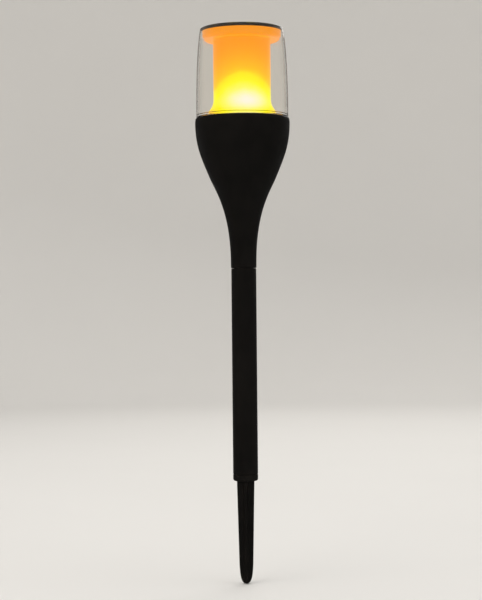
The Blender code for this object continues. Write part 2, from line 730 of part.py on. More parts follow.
def screw_mesh(length):
    """A pan-head screw with a cross recess. Its origin is under its head, and its tip is below."""
    profile = [
        (0, SCREW_HEAD_HEIGHT),
        (SCREW_HEAD_RADIUS * 0.6, SCREW_HEAD_HEIGHT),
        (SCREW_HEAD_RADIUS * 0.93, SCREW_HEAD_HEIGHT * 0.7),
        (SCREW_HEAD_RADIUS, 0),
        (SCREW_RADIUS, 0),
        (SCREW_RADIUS, 0.8 - length),
        (0, -length),
    ]
    blank = add_cutter("screw_blank", turned_mesh("screw", profile, 12))
    floor = SCREW_HEAD_HEIGHT * 0.4
    bars = []
    for name, half in (("recess_x", RECESS_HALF), ("recess_y", RECESS_HALF[::-1])):
        bars.append(add_cutter(name, box_mesh(name, half, floor, SCREW_HEAD_HEIGHT + 1)))
    combine(blank, "DIFFERENCE", *bars)
    bpy.context.view_layer.update()
    mesh = evaluated_mesh(blank)
    for spent in (blank, *bars):
        bpy.data.objects.remove(spent)
    return mesh


def make_screws(head):
    """Three screws up through the base, two down through the board, two up through the lid."""
    point_up = (radians(180), 0, 0)
    seat = BASE_BOTTOM - GAP
    mesh = screw_mesh(BASE_SCREW_END - seat)
    for i, angle in enumerate(BASE_SCREW_ANGLES):
        place = polar(BASE_SCREW_REACH, angle, seat)
        add(f"base_screw_{i + 1}", mesh, "steel", head, place, point_up)
    seat = BOARD_TOP + GAP
    mesh = screw_mesh(seat - BOARD_SCREW_END - GAP)
    for i, side in enumerate((-1, 1)):
        add(f"board_screw_{i + 1}", mesh, "steel", head, (0, side * BOARD_SCREW_REACH, seat))
    seat = LID_TOP - LID_THICKNESS - GAP
    mesh = screw_mesh(LID_SCREW_LENGTH)
    for i, side in enumerate((-1, 1)):
        place = (0, side * LID_POST_REACH, seat)
        add(f"lid_screw_{i + 1}", mesh, "steel", head, place, point_up)


def make_board(head):
    """The LED board with its three LEDs and its driver components."""
    mesh = post_mesh("board", BOARD_RADIUS, BOARD_BOTTOM, BOARD_TOP, steps=SLIM_ROUND)
    board = add("led_board", mesh, "board", head)
    for name, side in (("front", -1), ("back", 1)):
        hole = post_mesh("board_hole", SCREW_HOLE_RADIUS, BOARD_BOTTOM - 1, BOARD_TOP + 1)
        cutter = add_cutter(f"board_hole_{name}", hole, (0, side * BOARD_SCREW_REACH, 0))
        combine(board, "DIFFERENCE", cutter)
    top = BOARD_TOP + GAP
    shoulder = LED_HEIGHT - LED_RADIUS
    led = turned_mesh(
        "led",
        [
            (0, LED_HEIGHT),
            *reversed(arc((0, shoulder), LED_RADIUS, 0, 70, 4)),
            (LED_RADIUS, LED_FLANGE_HEIGHT),
            (LED_FLANGE_RADIUS, LED_FLANGE_HEIGHT),
            (LED_FLANGE_RADIUS, 0),
            (0, 0),
        ],
        SMALL_ROUND,
    )
    for i, angle in enumerate(LED_ANGLES):
        add(f"flicker_led_{i + 1}", led, "amber_led", head, polar(LED_REACH, angle, top))
    chip = box_mesh("chip", CHIP_HALF, 0, CHIP_HEIGHT, bevel=0.2)
    add("control_chip", chip, "component", head, (*CHIP_PLACE, top))
    radius, height = CAPACITOR_SIZE
    can = post_mesh("can", radius, 0, height)
    add("storage_capacitor", can, "component", head, (*CAPACITOR_PLACE, top))
    core = turned_mesh("core", INDUCTOR_PROFILE, SMALL_ROUND)
    add("boost_inductor", core, "component", head, (*INDUCTOR_PLACE, top))


def make_battery(head):
    """The AAA cell along X, between a spring at its flat end and a plate at its button."""
    back, front = CELL_ENDS
    profile = [
        (0, BUTTON_END),
        (BUTTON_RADIUS, BUTTON_END),
        (BUTTON_RADIUS, front),
        (CELL_RADIUS - CELL_CORNER, front),
        (CELL_RADIUS, front - CELL_CORNER),
        (CELL_RADIUS, back + CELL_CORNER),
        (CELL_RADIUS - CELL_CORNER, back),
        (0, back),
    ]
    along_x = (0, radians(90), 0)
    centre = (0, 0, CELL_CENTRE)
    cell = turned_mesh("cell", profile, 24)
    add("battery_cell", cell, "cell_wrap", head, centre, along_x)
    for name, side in (("spring_contact", -1), ("button_contact", 1)):
        thin = CONTACT_THICKNESS / 2
        at = (side * CONTACT_REACH, 0, 0)
        low, high = CONTACT_HEIGHTS
        plate = box_mesh("plate", (thin, CONTACT_HALF_WIDTH), low, high)
        plate = add(name, plate, "steel", head, at)
        tab = box_mesh("tab", (thin, CONTACT_TAB_HALF), high - 0.8, CONTACT_TAB_TOP)
        combine(plate, "UNION", add_cutter(f"{name}_tab", tab, at))
    start = CONTACT_THICKNESS / 2 - CONTACT_REACH + GAP + SPRING_WIRE
    length = back - GAP - SPRING_WIRE - start
    count = round(SPRING_TURNS * SPRING_STEPS)
    points = []
    for i in range(count + 1):
        share = i / count
        reach = SPRING_RADII[0] + (SPRING_RADII[1] - SPRING_RADII[0]) * share
        y, z, _ = polar(reach, 360 * SPRING_TURNS * share)
        points.append((start + length * share, y, z + CELL_CENTRE))
    add("battery_spring", wire_curve("spring", points, SPRING_WIRE), "steel", head)


def make_switch(head, knob_pivot):
    """The slide switch's body under the base, and its knob, which stands at its on end."""
    body_mesh = box_mesh("switch", SWITCH_HALF, SWITCH_BOTTOM, BASE_BOTTOM - GAP, bevel=0.3)
    body = add("switch_body", body_mesh, "component", head, (0, SWITCH_REACH, 0))
    slot = box_mesh("slot", SWITCH_SLOT_HALF, SWITCH_BOTTOM - 1, SWITCH_BOTTOM + SWITCH_SLOT_DEPTH)
    combine(body, "DIFFERENCE", add_cutter("switch_slot", slot, (0, SWITCH_REACH, 0)))
    knob = box_mesh("knob", KNOB_HALF, KNOB_BOTTOM, SWITCH_BOTTOM + KNOB_REACH, bevel=0.25)
    at = (SWITCH_TRAVEL / 2, SWITCH_REACH, 0)
    add("switch_knob", knob, "component", knob_pivot, at)


def make_leads(head):
    """The panel's leads down the inside of the tube, and the battery's leads to the board."""
    reach = TUBE_RADIUS - DIFFUSER_WALL - LEAD_WALL_ROOM
    hole_x, hole_y, _ = polar(WIRE_HOLE_REACH, WIRE_HOLE_ANGLE)
    bend, upper, lower = PANEL_LEAD_HEIGHTS
    foot = BOARD_TOP + GAP
    for tint, inset in (("red", LEAD_SPACING), ("black", -LEAD_SPACING)):
        angle = PANEL_LEAD_ANGLES[tint]
        knots = [
            (hole_x + inset, hole_y - inset, PANEL_SEAT),
            (hole_x + inset, hole_y - inset, bend),
            polar(reach, angle, upper),
            polar(reach, angle, lower),
            polar(reach - LEAD_RADIUS, angle, foot),
        ]
        add_lead(f"panel_lead_{tint}", knots, tint, head)
    for tint, side in (("black", -1), ("red", 1)):
        knots = [*BATTERY_LEAD_KNOTS, (*BATTERY_LEAD_END, foot)]
        add_lead(f"battery_lead_{tint}", [(side * x, y, z) for x, y, z in knots], tint, head)


def add_lead(name, knots, tint, head):
    """One insulated lead on a smooth route through its knots."""
    curve = wire_curve(name, smooth_route(knots, 3), LEAD_RADIUS)
    add(name, curve, f"lead_{tint}", head)


def main():
    start_clean()
    pole = pivot("pole_pull", (0, 0, COLLAR_HEIGHT))
    cup = pivot("cup_pull", (0, 0, POLE_TOP), pole)
    seal = pivot("head_turn", (0, 0, SOCKET_FLOOR), cup)
    head = pivot("head_lift", (0, 0, RIM), seal)
    knob_pivot = pivot("switch_slide", (0, SWITCH_REACH, SWITCH_BOTTOM), head)
    make_spike()
    make_pole(pole)
    make_cup(cup)
    make_seal(seal)
    make_lens(head)
    make_diffuser(head)
    make_cap(head)
    make_base(head)
    make_lid(head)
    make_screws(head)
    make_board(head)
    make_battery(head)
    make_switch(head, knob_pivot)
    make_leads(head)


main()
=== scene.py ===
"""Solar garden torch: the shape and finish of every piece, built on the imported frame.

Sizes are in millimetres above the ground line, and MM turns them into metres. The torch's axis is
Z, its front is at -Y, and each moving group of pieces rides on the frame's own body.
"""

import logging
from collections.abc import Callable, Iterable, Sequence
from dataclasses import dataclass, field
from enum import Enum
from functools import cache
from math import cos, e, pi, radians, sin, sqrt

import bmesh
import bpy
from bmesh.types import BMesh
from bpy.types import Material, Node, NodeSocket, Object, ShaderNodeTree
from mathutils import Matrix, Vector


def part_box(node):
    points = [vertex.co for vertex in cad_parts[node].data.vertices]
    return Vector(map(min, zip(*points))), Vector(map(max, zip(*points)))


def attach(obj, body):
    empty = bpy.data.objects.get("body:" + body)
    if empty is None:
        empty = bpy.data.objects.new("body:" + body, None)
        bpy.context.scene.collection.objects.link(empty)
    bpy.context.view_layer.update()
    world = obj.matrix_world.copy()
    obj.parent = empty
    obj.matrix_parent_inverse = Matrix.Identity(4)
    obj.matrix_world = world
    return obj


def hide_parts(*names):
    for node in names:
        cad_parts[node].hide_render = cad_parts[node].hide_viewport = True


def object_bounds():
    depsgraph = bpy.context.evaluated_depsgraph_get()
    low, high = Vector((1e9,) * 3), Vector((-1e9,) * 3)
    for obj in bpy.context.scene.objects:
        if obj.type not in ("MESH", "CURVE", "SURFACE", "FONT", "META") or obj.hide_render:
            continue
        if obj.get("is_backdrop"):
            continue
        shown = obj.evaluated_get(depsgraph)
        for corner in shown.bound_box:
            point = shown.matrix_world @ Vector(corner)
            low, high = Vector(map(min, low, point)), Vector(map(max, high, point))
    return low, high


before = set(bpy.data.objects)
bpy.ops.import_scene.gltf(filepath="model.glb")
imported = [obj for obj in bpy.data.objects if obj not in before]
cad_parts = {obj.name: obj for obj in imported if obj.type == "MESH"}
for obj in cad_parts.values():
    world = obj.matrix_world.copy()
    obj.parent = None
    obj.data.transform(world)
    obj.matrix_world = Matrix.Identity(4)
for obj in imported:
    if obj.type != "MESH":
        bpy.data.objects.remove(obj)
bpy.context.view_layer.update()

LOG = logging.getLogger("solar_torch")
MM = 0.001
ROUND = 144  # sides of a large turned piece
SLIM_ROUND = 96
SMALL_ROUND = 40
CREASE = radians(32)
ON_AXIS = 1e-4

Pair = tuple[float, float]
Triple = tuple[float, float, float]
Colour = tuple[float, float, float]


class Body(Enum):
    """The frame's moving bodies, from the ground up."""

    SPIKE = "spike"
    POLE = "pole"
    CUP = "cup"
    SEAL = "seal"
    HEAD = "head"
    SWITCH = "switch"


class Slot(Enum):
    """The material slots that a scene can repaint."""

    BLACK = "black_plastic"
    CLEAR = "clear_lens"
    MILKY = "milky_diffuser"
    SOLAR = "solar_cell"
    RUBBER = "seal_rubber"
    BOARD = "circuit_board"
    LED = "amber_led"
    COMPONENT = "component"
    SPRING_STEEL = "spring_steel"
    SCREW_STEEL = "screw_steel"
    WRAP = "cell_wrap"
    RED = "red_lead"
    BLACK_LEAD = "black_lead"


# ---------------------------------------------------------------- outlines and paths


def bezier(start: Sequence[float], pull_a: Sequence[float], pull_b: Sequence[float],
           end: Sequence[float], count: int) -> list[tuple[float, ...]]:
    """Points along a cubic curve.

    Args:
        start: The first point.
        pull_a: The handle of the first point.
        pull_b: The handle of the last point.
        end: The last point.
        count: How many spans the curve is cut into.

    Returns:
        count points, from start up to just before end.
    """
    points = []
    for i in range(count):
        t = i / count
        weights = ((1 - t) ** 3, 3 * t * (1 - t) ** 2, 3 * t * t * (1 - t), t**3)
        corners = (start, pull_a, pull_b, end)
        points.append(
            tuple(sum(w * c[k] for w, c in zip(weights, corners)) for k in range(len(start)))
        )
    return points


def corner(centre: Pair, radius: float, first: float, last: float, count: int = 6) -> list[Pair]:
    """Points along a round corner, both ends included.

    Args:
        centre: The corner's centre.
        radius: Its radius.
        first: The angle it starts at, in degrees.
        last: The angle it ends at.
        count: How many spans it is cut into.
    """
    angles = [radians(first + (last - first) * i / count) for i in range(count + 1)]
    return [(centre[0] + radius * cos(a), centre[1] + radius * sin(a)) for a in angles]


def polar(reach: float, angle: float, height: float = 0.0) -> Triple:
    """The point at that distance from the axis and that angle in degrees."""
    return (reach * cos(radians(angle)), reach * sin(radians(angle)), height)


def flowing(knots: Sequence[Triple], per_span: int = 8) -> list[Triple]:
    """Points on a smooth curve that passes through the knots."""
    ends = [Vector(knots[0]), *map(Vector, knots), Vector(knots[-1])]
    route: list[Triple] = []
    for before, a, b, after in zip(ends, ends[1:], ends[2:], ends[3:]):
        route += bezier(a, a + (b - before) / 6, b - (after - a) / 6, b, per_span)
    return [*route, tuple(ends[-1])]


# ---------------------------------------------------------------- shapes


def columns(count: int, ridges: Iterable[float] = (), width: float = 0.45) -> list[float]:
    """The angles of a turned piece's columns, with three close together at each ridge.

    Args:
        count: How many even columns there are.
        ridges: The angles of ridges that run up the piece, in degrees.
        width: Half of a ridge's width in degrees.

    Returns:
        Sorted angles in radians.
    """
    ridges = list(ridges)
    even = [360 * i / count for i in range(count)]
    kept = [a for a in even if all(abs((a - r + 180) % 360 - 180) > width * 1.2 for r in ridges)]
    close = [(r + side * width) % 360 for r in ridges for side in (-1, 0, 1)]
    return [radians(a) for a in sorted(kept + close)]


def turned(profile: Sequence[Pair], angles: Sequence[float] | int = ROUND, loop: bool = False,
           proud: Callable[[float, float], float] | None = None) -> BMesh:
    """A shape turned about Z.

    Args:
        profile: (radius, height) points. A radius of 0 closes the shape on the axis.
        angles: The columns' angles in radians, or how many even columns there are.
        loop: True if the profile is a closed loop round a ring's section.
        proud: Gives how far the surface stands out at an angle and a height.

    Returns:
        The shape in metres, with its faces turned outwards.
    """
    if isinstance(angles, int):
        angles = columns(angles)
    shape = bmesh.new()
    rows = []
    for radius, height in profile:
        if radius < ON_AXIS:
            rows.append([shape.verts.new((0, 0, height * MM))] * len(angles))
            continue
        row = []
        for angle in angles:
            out = radius + (proud(angle, height) if proud else 0)
            row.append(shape.verts.new((out * cos(angle) * MM, out * sin(angle) * MM, height * MM)))
        rows.append(row)
    pairs = list(zip(rows, rows[1:]))
    if loop:
        pairs.append((rows[-1], rows[0]))
    for upper, lower in pairs:
        for i in range(len(angles)):
            j = (i + 1) % len(angles)
            face = list(dict.fromkeys((upper[i], upper[j], lower[j], lower[i])))
            if len(face) > 2:
                shape.faces.new(face)
    return facing_out(shape)


def facing_out(shape: BMesh) -> BMesh:
    """The same shape with every face turned outwards."""
    bmesh.ops.recalc_face_normals(shape, faces=shape.faces[:])
    return shape


def block(half: Pair, low: float, high: float, rounding: float = 0.3, at: Pair = (0, 0),
          spans: int = 3) -> BMesh:
    """A block between two heights, with rounded edges.

    Args:
        half: Half of its width along X and Y.
        low: Its lower height.
        high: Its upper height.
        rounding: The radius of its edges.
        at: Its centre seen from above.
        spans: How many spans each rounded edge has.
    """
    shape = bmesh.new()
    bmesh.ops.create_cube(shape, size=2 * MM)
    bmesh.ops.scale(shape, vec=(*half, (high - low) / 2), verts=shape.verts)
    bmesh.ops.translate(shape, vec=Vector((*at, (low + high) / 2)) * MM, verts=shape.verts)
    if rounding:
        bmesh.ops.bevel(shape, geom=shape.edges[:], offset=rounding * MM, segments=spans,
                        profile=0.5, affect="EDGES")
    return facing_out(shape)


def post(radius: float, low: float, high: float, at: Pair = (0, 0), rounding: float = 0.0,
         sides: int = SMALL_ROUND, top_radius: float | None = None) -> BMesh:
    """A round post that stands at a point, with its top and bottom edges rounded.

    Args:
        radius: Its radius at the bottom.
        low: Its lower height.
        high: Its upper height.
        at: Its centre seen from above.
        rounding: The radius of its two edges.
        sides: How many sides it has.
        top_radius: Its radius at the top, where it differs.
    """
    top_radius = radius if top_radius is None else top_radius
    if rounding:
        outline = [
            (0, high),
            *corner((top_radius - rounding, high - rounding), rounding, 90, 0, 4),
            *corner((radius - rounding, low + rounding), rounding, 0, -90, 4),
            (0, low),
        ]
    else:
        outline = [(0, high), (top_radius, high), (radius, low), (0, low)]
    return moved(turned(outline, sides), (*at, 0))


def plate(outline: Sequence[Pair], low: float, high: float, rounding: float = 0.0) -> BMesh:
    """A flat plate of that outline between two heights, with its upper edge rounded."""
    shape = bmesh.new()
    face = shape.faces.new([shape.verts.new((x * MM, y * MM, low * MM)) for x, y in outline])
    grown = bmesh.ops.extrude_face_region(shape, geom=[face])["geom"]
    raised = [v for v in grown if isinstance(v, bmesh.types.BMVert)]
    bmesh.ops.translate(shape, vec=(0, 0, (high - low) * MM), verts=raised)
    if rounding:
        rim = [e for e in shape.edges if all(v.co.z > (low + high) / 2 * MM for v in e.verts)]
        bmesh.ops.bevel(shape, geom=rim, offset=rounding * MM, segments=2, profile=0.5,
                        affect="EDGES")
    return facing_out(shape)


def wire(path: Sequence[Triple], radius: float, sides: int = 14) -> BMesh:
    """A round wire or bead along a path, with domed ends.

    Args:
        path: The points along its middle.
        radius: Its radius.
        sides: How many sides its section has.
    """
    points = [Vector(p) for p in path]
    runs = [(b - a).normalized() for a, b in zip(points, points[1:])]
    headings = [runs[0], *[(a + b).normalized() for a, b in zip(runs, runs[1:])], runs[-1]]
    side = headings[0].orthogonal().normalized()
    stations = []
    for point, heading in zip(points, headings):
        side = (side - heading * side.dot(heading)).normalized()
        stations.append((point, heading, side))
    domes = [radians(a) for a in (90, 60, 30)]
    rings = [(stations[0], -sin(a), cos(a)) for a in domes]
    rings += [(station, 0.0, 1.0) for station in stations]
    rings += [(stations[-1], sin(a), cos(a)) for a in reversed(domes)]
    shape = bmesh.new()
    loops = []
    for (point, heading, across), push, share in rings:
        middle = point + heading * push * radius
        other = heading.cross(across)
        loop = []
        for i in range(sides if share > ON_AXIS else 1):
            turn = 2 * pi * i / sides
            offset = (across * cos(turn) + other * sin(turn)) * radius * max(share, 0)
            loop.append(shape.verts.new((middle + offset) * MM))
        loops.append(loop * (sides if len(loop) == 1 else 1))
    for a, b in zip(loops, loops[1:]):
        for i in range(sides):
            j = (i + 1) % sides
            face = list(dict.fromkeys((a[i], a[j], b[j], b[i])))
            if len(face) > 2:
                shape.faces.new(face)
    return facing_out(shape)


def skinned(rings: Sequence[Sequence[Triple]]) -> BMesh:
    """A closed shape with a skin over rings of equal length, and a flat face at each end."""
    shape = bmesh.new()
    loops = [[shape.verts.new(Vector(p) * MM) for p in ring] for ring in rings]
    count = len(loops[0])
    for a, b in zip(loops, loops[1:]):
        for i in range(count):
            shape.faces.new((a[i], a[(i + 1) % count], b[(i + 1) % count], b[i]))
    shape.faces.new(loops[0])
    shape.faces.new(loops[-1])
    return facing_out(shape)


def moved(shape: BMesh, by: Triple = (0, 0, 0), turn: Matrix | None = None) -> BMesh:
    """The same shape, turned about the origin and then moved by millimetres."""
    if turn is not None:
        bmesh.ops.transform(shape, matrix=turn, verts=shape.verts)
    bmesh.ops.translate(shape, vec=Vector(by) * MM, verts=shape.verts)
    return shape


def together(*shapes: BMesh) -> BMesh:
    """One shape that holds all of these, each still closed by itself."""
    whole = shapes[0]
    for other in shapes[1:]:
        spare = bpy.data.meshes.new("spare")
        other.to_mesh(spare)
        other.free()
        whole.from_mesh(spare)
        bpy.data.meshes.remove(spare)
    return whole


def carved(shape: BMesh, join: Sequence[BMesh] = (), cut: Sequence[BMesh] = ()) -> BMesh:
    """A shape with others fused to it and others cut out of it.

    Args:
        shape: The solid to start from.
        join: Solids that become one with it.
        cut: Solids that are taken away from the result.

    Returns:
        The finished solid.
    """
    def stand_in(solid: BMesh) -> Object:
        """Puts a solid into the scene for the carving, and uses the solid up."""
        mesh = bpy.data.meshes.new("carving")
        solid.to_mesh(mesh)
        solid.free()
        thing = bpy.data.objects.new("carving", mesh)
        bpy.context.scene.collection.objects.link(thing)
        return thing

    main = stand_in(shape)
    helpers = []
    for operation, solids in (("UNION", join), ("DIFFERENCE", cut)):
        for solid in solids:
            helper = stand_in(solid)
            helpers.append(helper)
            step = main.modifiers.new(operation, "BOOLEAN")
            step.operation = operation
            step.solver = "EXACT"
            step.object = helper
    graph = bpy.context.evaluated_depsgraph_get()
    mesh = bpy.data.meshes.new_from_object(main.evaluated_get(graph), depsgraph=graph)
    result = bmesh.new()
    result.from_mesh(mesh)
    bmesh.ops.remove_doubles(result, verts=result.verts, dist=1e-7)
    for thing in (main, *helpers):
        used = thing.data
        bpy.data.objects.remove(thing)
        bpy.data.meshes.remove(used)
    bpy.data.meshes.remove(mesh)
    return result


# ---------------------------------------------------------------- shader wiring


class Wiring:
    """Adds and joins the nodes of one shader tree."""

    def __init__(self, tree: ShaderNodeTree) -> None:
        """Starts work on a tree."""
        self.tree = tree
        self.count = 0

    def add(self, kind: str, **settings: object) -> Node:
        """A new node of that kind, with its own settings made."""
        node = self.tree.nodes.new(f"ShaderNode{kind}")
        node.location = (180 * (self.count % 12), -260 * (self.count // 12))
        self.count += 1
        for name, value in settings.items():
            setattr(node, name, value)
        return node

    def feed(self, node: Node, **values: object) -> Node:
        """Sets or links a node's inputs, which are named with _ for a space."""
        for name, value in values.items():
            self.set(node.inputs[name.replace("_", " ")], value)
        return node

    def set(self, socket: NodeSocket, value: object) -> None:
        """Links a socket if value is one, and sets its number or colour otherwise."""
        if isinstance(value, NodeSocket):
            self.tree.links.new(value, socket)
        elif isinstance(value, tuple) and len(value) == 3 and socket.type == "RGBA":
            socket.default_value = (*value, 1.0)
        else:
            socket.default_value = value

    def maths(self, operation: str, a: object, b: object = 0.0, clamp: bool = False) -> NodeSocket:
        """The result of one sum on two values."""
        node = self.add("Math", operation=operation, use_clamp=clamp)
        self.set(node.inputs[0], a)
        self.set(node.inputs[1], b)
        return node.outputs[0]

    def spread(self, value: object, low: float, high: float, to_low: float = 0.0,
               to_high: float = 1.0, smooth: bool = True) -> NodeSocket:
        """A value moved from one range to another, and held inside it."""
        node = self.add("MapRange", interpolation_type="SMOOTHSTEP" if smooth else "LINEAR")
        self.feed(node, Value=value, From_Min=low, From_Max=high, To_Min=to_low, To_Max=to_high)
        return node.outputs["Result"]

    def blend(self, share: object, a: object, b: object) -> NodeSocket:
        """Colour a turned into colour b by that share."""
        node = self.add("Mix", data_type="RGBA")
        for index, value in ((0, share), (6, a), (7, b)):
            self.set(node.inputs[index], value)
        return node.outputs[2]

    def ramp(self, value: object, stops: Sequence[tuple[float, Colour]]) -> NodeSocket:
        """The colour that a value has between these stops."""
        node = self.add("ValToRGB")
        bar = node.color_ramp
        for place, colour in stops[1:-1]:
            bar.elements.new(place).color = (*colour, 1.0)
        for element, (place, colour) in zip(bar.elements, stops):
            element.position = place
            element.color = (*colour, 1.0)
        self.set(node.inputs[0], value)
        return node.outputs[0]

    def place(self) -> NodeSocket:
        """The point on the piece, in metres in the torch's own frame."""
        return self.add("TexCoord").outputs["Object"]

    def stretched(self, vector: object, scale: Triple) -> NodeSocket:
        """A vector scaled along each axis."""
        node = self.feed(self.add("Mapping"), Vector=vector, Scale=scale)
        return node.outputs[0]

    def axes(self, vector: object) -> tuple[NodeSocket, NodeSocket, NodeSocket]:
        """The three parts of a vector."""
        node = self.feed(self.add("SeparateXYZ"), Vector=vector)
        return tuple(node.outputs)

    def noise(self, vector: object, scale: object, detail: float = 3.0,
              roughness: float = 0.55) -> NodeSocket:
        """Soft noise at that many features to the metre."""
        node = self.feed(self.add("TexNoise"), Vector=vector, Scale=scale, Detail=detail,
                         Roughness=roughness)
        return node.outputs[0]

    def effect(self, group: ShaderNodeTree, **values: object) -> Node:
        """An effect's node group, placed here with its own values."""
        node = self.add("Group")
        node.node_tree = group
        return self.feed(node, **values)


class Effects:
    """The surface effects that several finishes share, each one node group made once."""

    @staticmethod
    def _group(name: str, inputs: Sequence[str], outputs: Sequence[str]
               ) -> tuple[ShaderNodeTree, Wiring, Node, Node]:
        """An empty group with named value sockets.

        Args:
            name: The group's name.
            inputs: Names of its inputs.
            outputs: Names of its outputs.

        Returns:
            The group, its wiring, and its input and output nodes.
        """
        tree = bpy.data.node_groups.new(name, "ShaderNodeTree")
        for names, way in ((inputs, "INPUT"), (outputs, "OUTPUT")):
            for each in names:
                tree.interface.new_socket(name=each, in_out=way, socket_type="NodeSocketFloat")
        entry = tree.nodes.new("NodeGroupInput")
        leave = tree.nodes.new("NodeGroupOutput")
        return tree, Wiring(tree), entry, leave

    @staticmethod
    @cache
    def grain() -> ShaderNodeTree:
        """Fine moulded grain and slow blotches. Fine is features to the metre."""
        tree, w, entry, leave = Effects._group(
            "Moulded grain", ("Fine", "Broad"), ("Height", "Blotch"))
        place = w.place()
        fine = w.noise(place, entry.outputs["Fine"], 2.0)
        broad = w.noise(place, entry.outputs["Broad"], 3.0)
        w.set(leave.inputs["Height"], fine)
        w.set(leave.inputs["Blotch"], w.spread(broad, 0.3, 0.7))
        return tree

    @staticmethod
    @cache
    def draw_lines() -> ShaderNodeTree:
        """Faint lines that run up a drawn or ejected piece."""
        tree, w, entry, leave = Effects._group("Draw lines", ("Fine",), ("Lines",))
        lines = w.noise(w.stretched(w.place(), (1.0, 1.0, 0.012)), entry.outputs["Fine"], 4.0, 0.6)
        w.set(leave.inputs["Lines"], w.spread(lines, 0.25, 0.75))
        return tree

    @staticmethod
    @cache
    def edge_wear() -> ShaderNodeTree:
        """Rubbed edges. Width is in metres, and Amount is from 0 to 1."""
        tree, w, entry, leave = Effects._group("Edge wear", ("Width", "Amount"), ("Mask",))
        softened = w.feed(w.add("Bevel", samples=6), Radius=entry.outputs["Width"])
        plain = w.add("NewGeometry")
        likeness = w.add("VectorMath", operation="DOT_PRODUCT")
        w.set(likeness.inputs[0], softened.outputs[0])
        w.set(likeness.inputs[1], plain.outputs["Normal"])
        edge = w.spread(w.maths("SUBTRACT", 1.0, likeness.outputs["Value"]), 0.01, 0.14)
        patchy = w.spread(w.noise(w.place(), 420.0, 4.0, 0.65), 0.42, 0.68)
        worn = w.maths("MULTIPLY", edge, patchy)
        w.set(leave.inputs["Mask"], w.maths("MULTIPLY", worn, entry.outputs["Amount"], clamp=True))
        return tree

    @staticmethod
    @cache
    def dust() -> ShaderNodeTree:
        """Dust that settles on what faces up, and thins out elsewhere."""
        tree, w, entry, leave = Effects._group("Settled dust", ("Amount",), ("Mask",))
        up = w.axes(w.add("NewGeometry").outputs["Normal"])[2]
        lies = w.spread(up, -0.2, 1.0, 0.12, 1.0)
        specks = w.spread(w.noise(w.place(), 900.0, 5.0, 0.75), 0.50, 0.74)
        film = w.spread(w.noise(w.place(), 55.0, 4.0, 0.6), 0.35, 0.75)
        mixed = w.maths("ADD", w.maths("MULTIPLY", specks, 0.65), w.maths("MULTIPLY", film, 0.35))
        held = w.maths("MULTIPLY", mixed, lies)
        w.set(leave.inputs["Mask"], w.maths("MULTIPLY", held, entry.outputs["Amount"], clamp=True))
        return tree


# ---------------------------------------------------------------- finishes


def toned(colour: Colour, factor: float) -> Colour:
    """The same colour, lighter or darker by a factor."""
    return tuple(factor * c for c in colour)


@dataclass(frozen=True)
class Finish:
    """A named finish. Each kind says in wire() how its surface is made."""

    name: str

    def material(self) -> Material:
        """The finish's material, made on first use."""
        found = bpy.data.materials.get(self.name)
        if found:
            return found
        made = bpy.data.materials.new(self.name)
        made.use_nodes = True
        wiring = Wiring(made.node_tree)
        self.wire(wiring, made.node_tree.nodes["Principled BSDF"])
        return made

    def wire(self, w: Wiring, shader: Node) -> None:
        """Wires the finish into its shader."""
        raise NotImplementedError

    @staticmethod
    def bump(w: Wiring, shader: Node, height: object, distance: float, strength: float) -> None:
        """Gives the shader a bump of that depth in metres."""
        node = w.feed(w.add("Bump"), Strength=strength, Distance=distance, Height=height)
        w.set(shader.inputs["Normal"], node.outputs[0])


@dataclass(frozen=True)
class MouldedPlastic(Finish):
    """Black moulded plastic with a fine grain, rubbed edges and a little garden dust."""

    colour: Colour = (0.0046, 0.0038, 0.0030)
    blotch_colour: Colour = (0.0072, 0.0058, 0.0046)
    worn_colour: Colour = (0.050, 0.042, 0.034)
    dust_colour: Colour = (0.30, 0.235, 0.16)
    roughness: float = 0.46
    gloss_change: float = 0.09
    grain_depth: float = 0.00004
    grain_strength: float = 0.35
    wear_width: float = 0.0005
    wear: float = 0.55
    dust: float = 0.045
    lines: float = 0.0
    shine: float = 0.26

    def wire(self, w: Wiring, shader: Node) -> None:
        """Grain, draw lines, rubbed edges and dust."""
        grain = w.effect(Effects.grain(), Fine=1900.0, Broad=70.0)
        worn = w.effect(Effects.edge_wear(), Width=self.wear_width, Amount=self.wear)
        dust = w.effect(Effects.dust(), Amount=self.dust)
        colour = w.blend(grain.outputs["Blotch"], self.colour, self.blotch_colour)
        colour = w.blend(worn.outputs[0], colour, self.worn_colour)
        colour = w.blend(dust.outputs[0], colour, self.dust_colour)
        height = grain.outputs["Height"]
        sheen = grain.outputs["Blotch"]
        if self.lines:
            drawn = w.effect(Effects.draw_lines(), Fine=950.0).outputs[0]
            scaled = w.maths("MULTIPLY", drawn, self.lines)
            height = w.maths("ADD", height, scaled)
            sheen = w.maths("MULTIPLY", w.maths("ADD", sheen, scaled), 0.6)
        rough = w.spread(sheen, 0.0, 1.0, self.roughness - self.gloss_change,
                         self.roughness + self.gloss_change)
        rough = w.maths("ADD", rough, w.maths("MULTIPLY", dust.outputs[0], 0.3), clamp=True)
        w.feed(shader, Base_Color=colour, Roughness=rough, IOR=1.5,
               Specular_IOR_Level=self.shine)
        self.bump(w, shader, height, self.grain_depth, self.grain_strength)


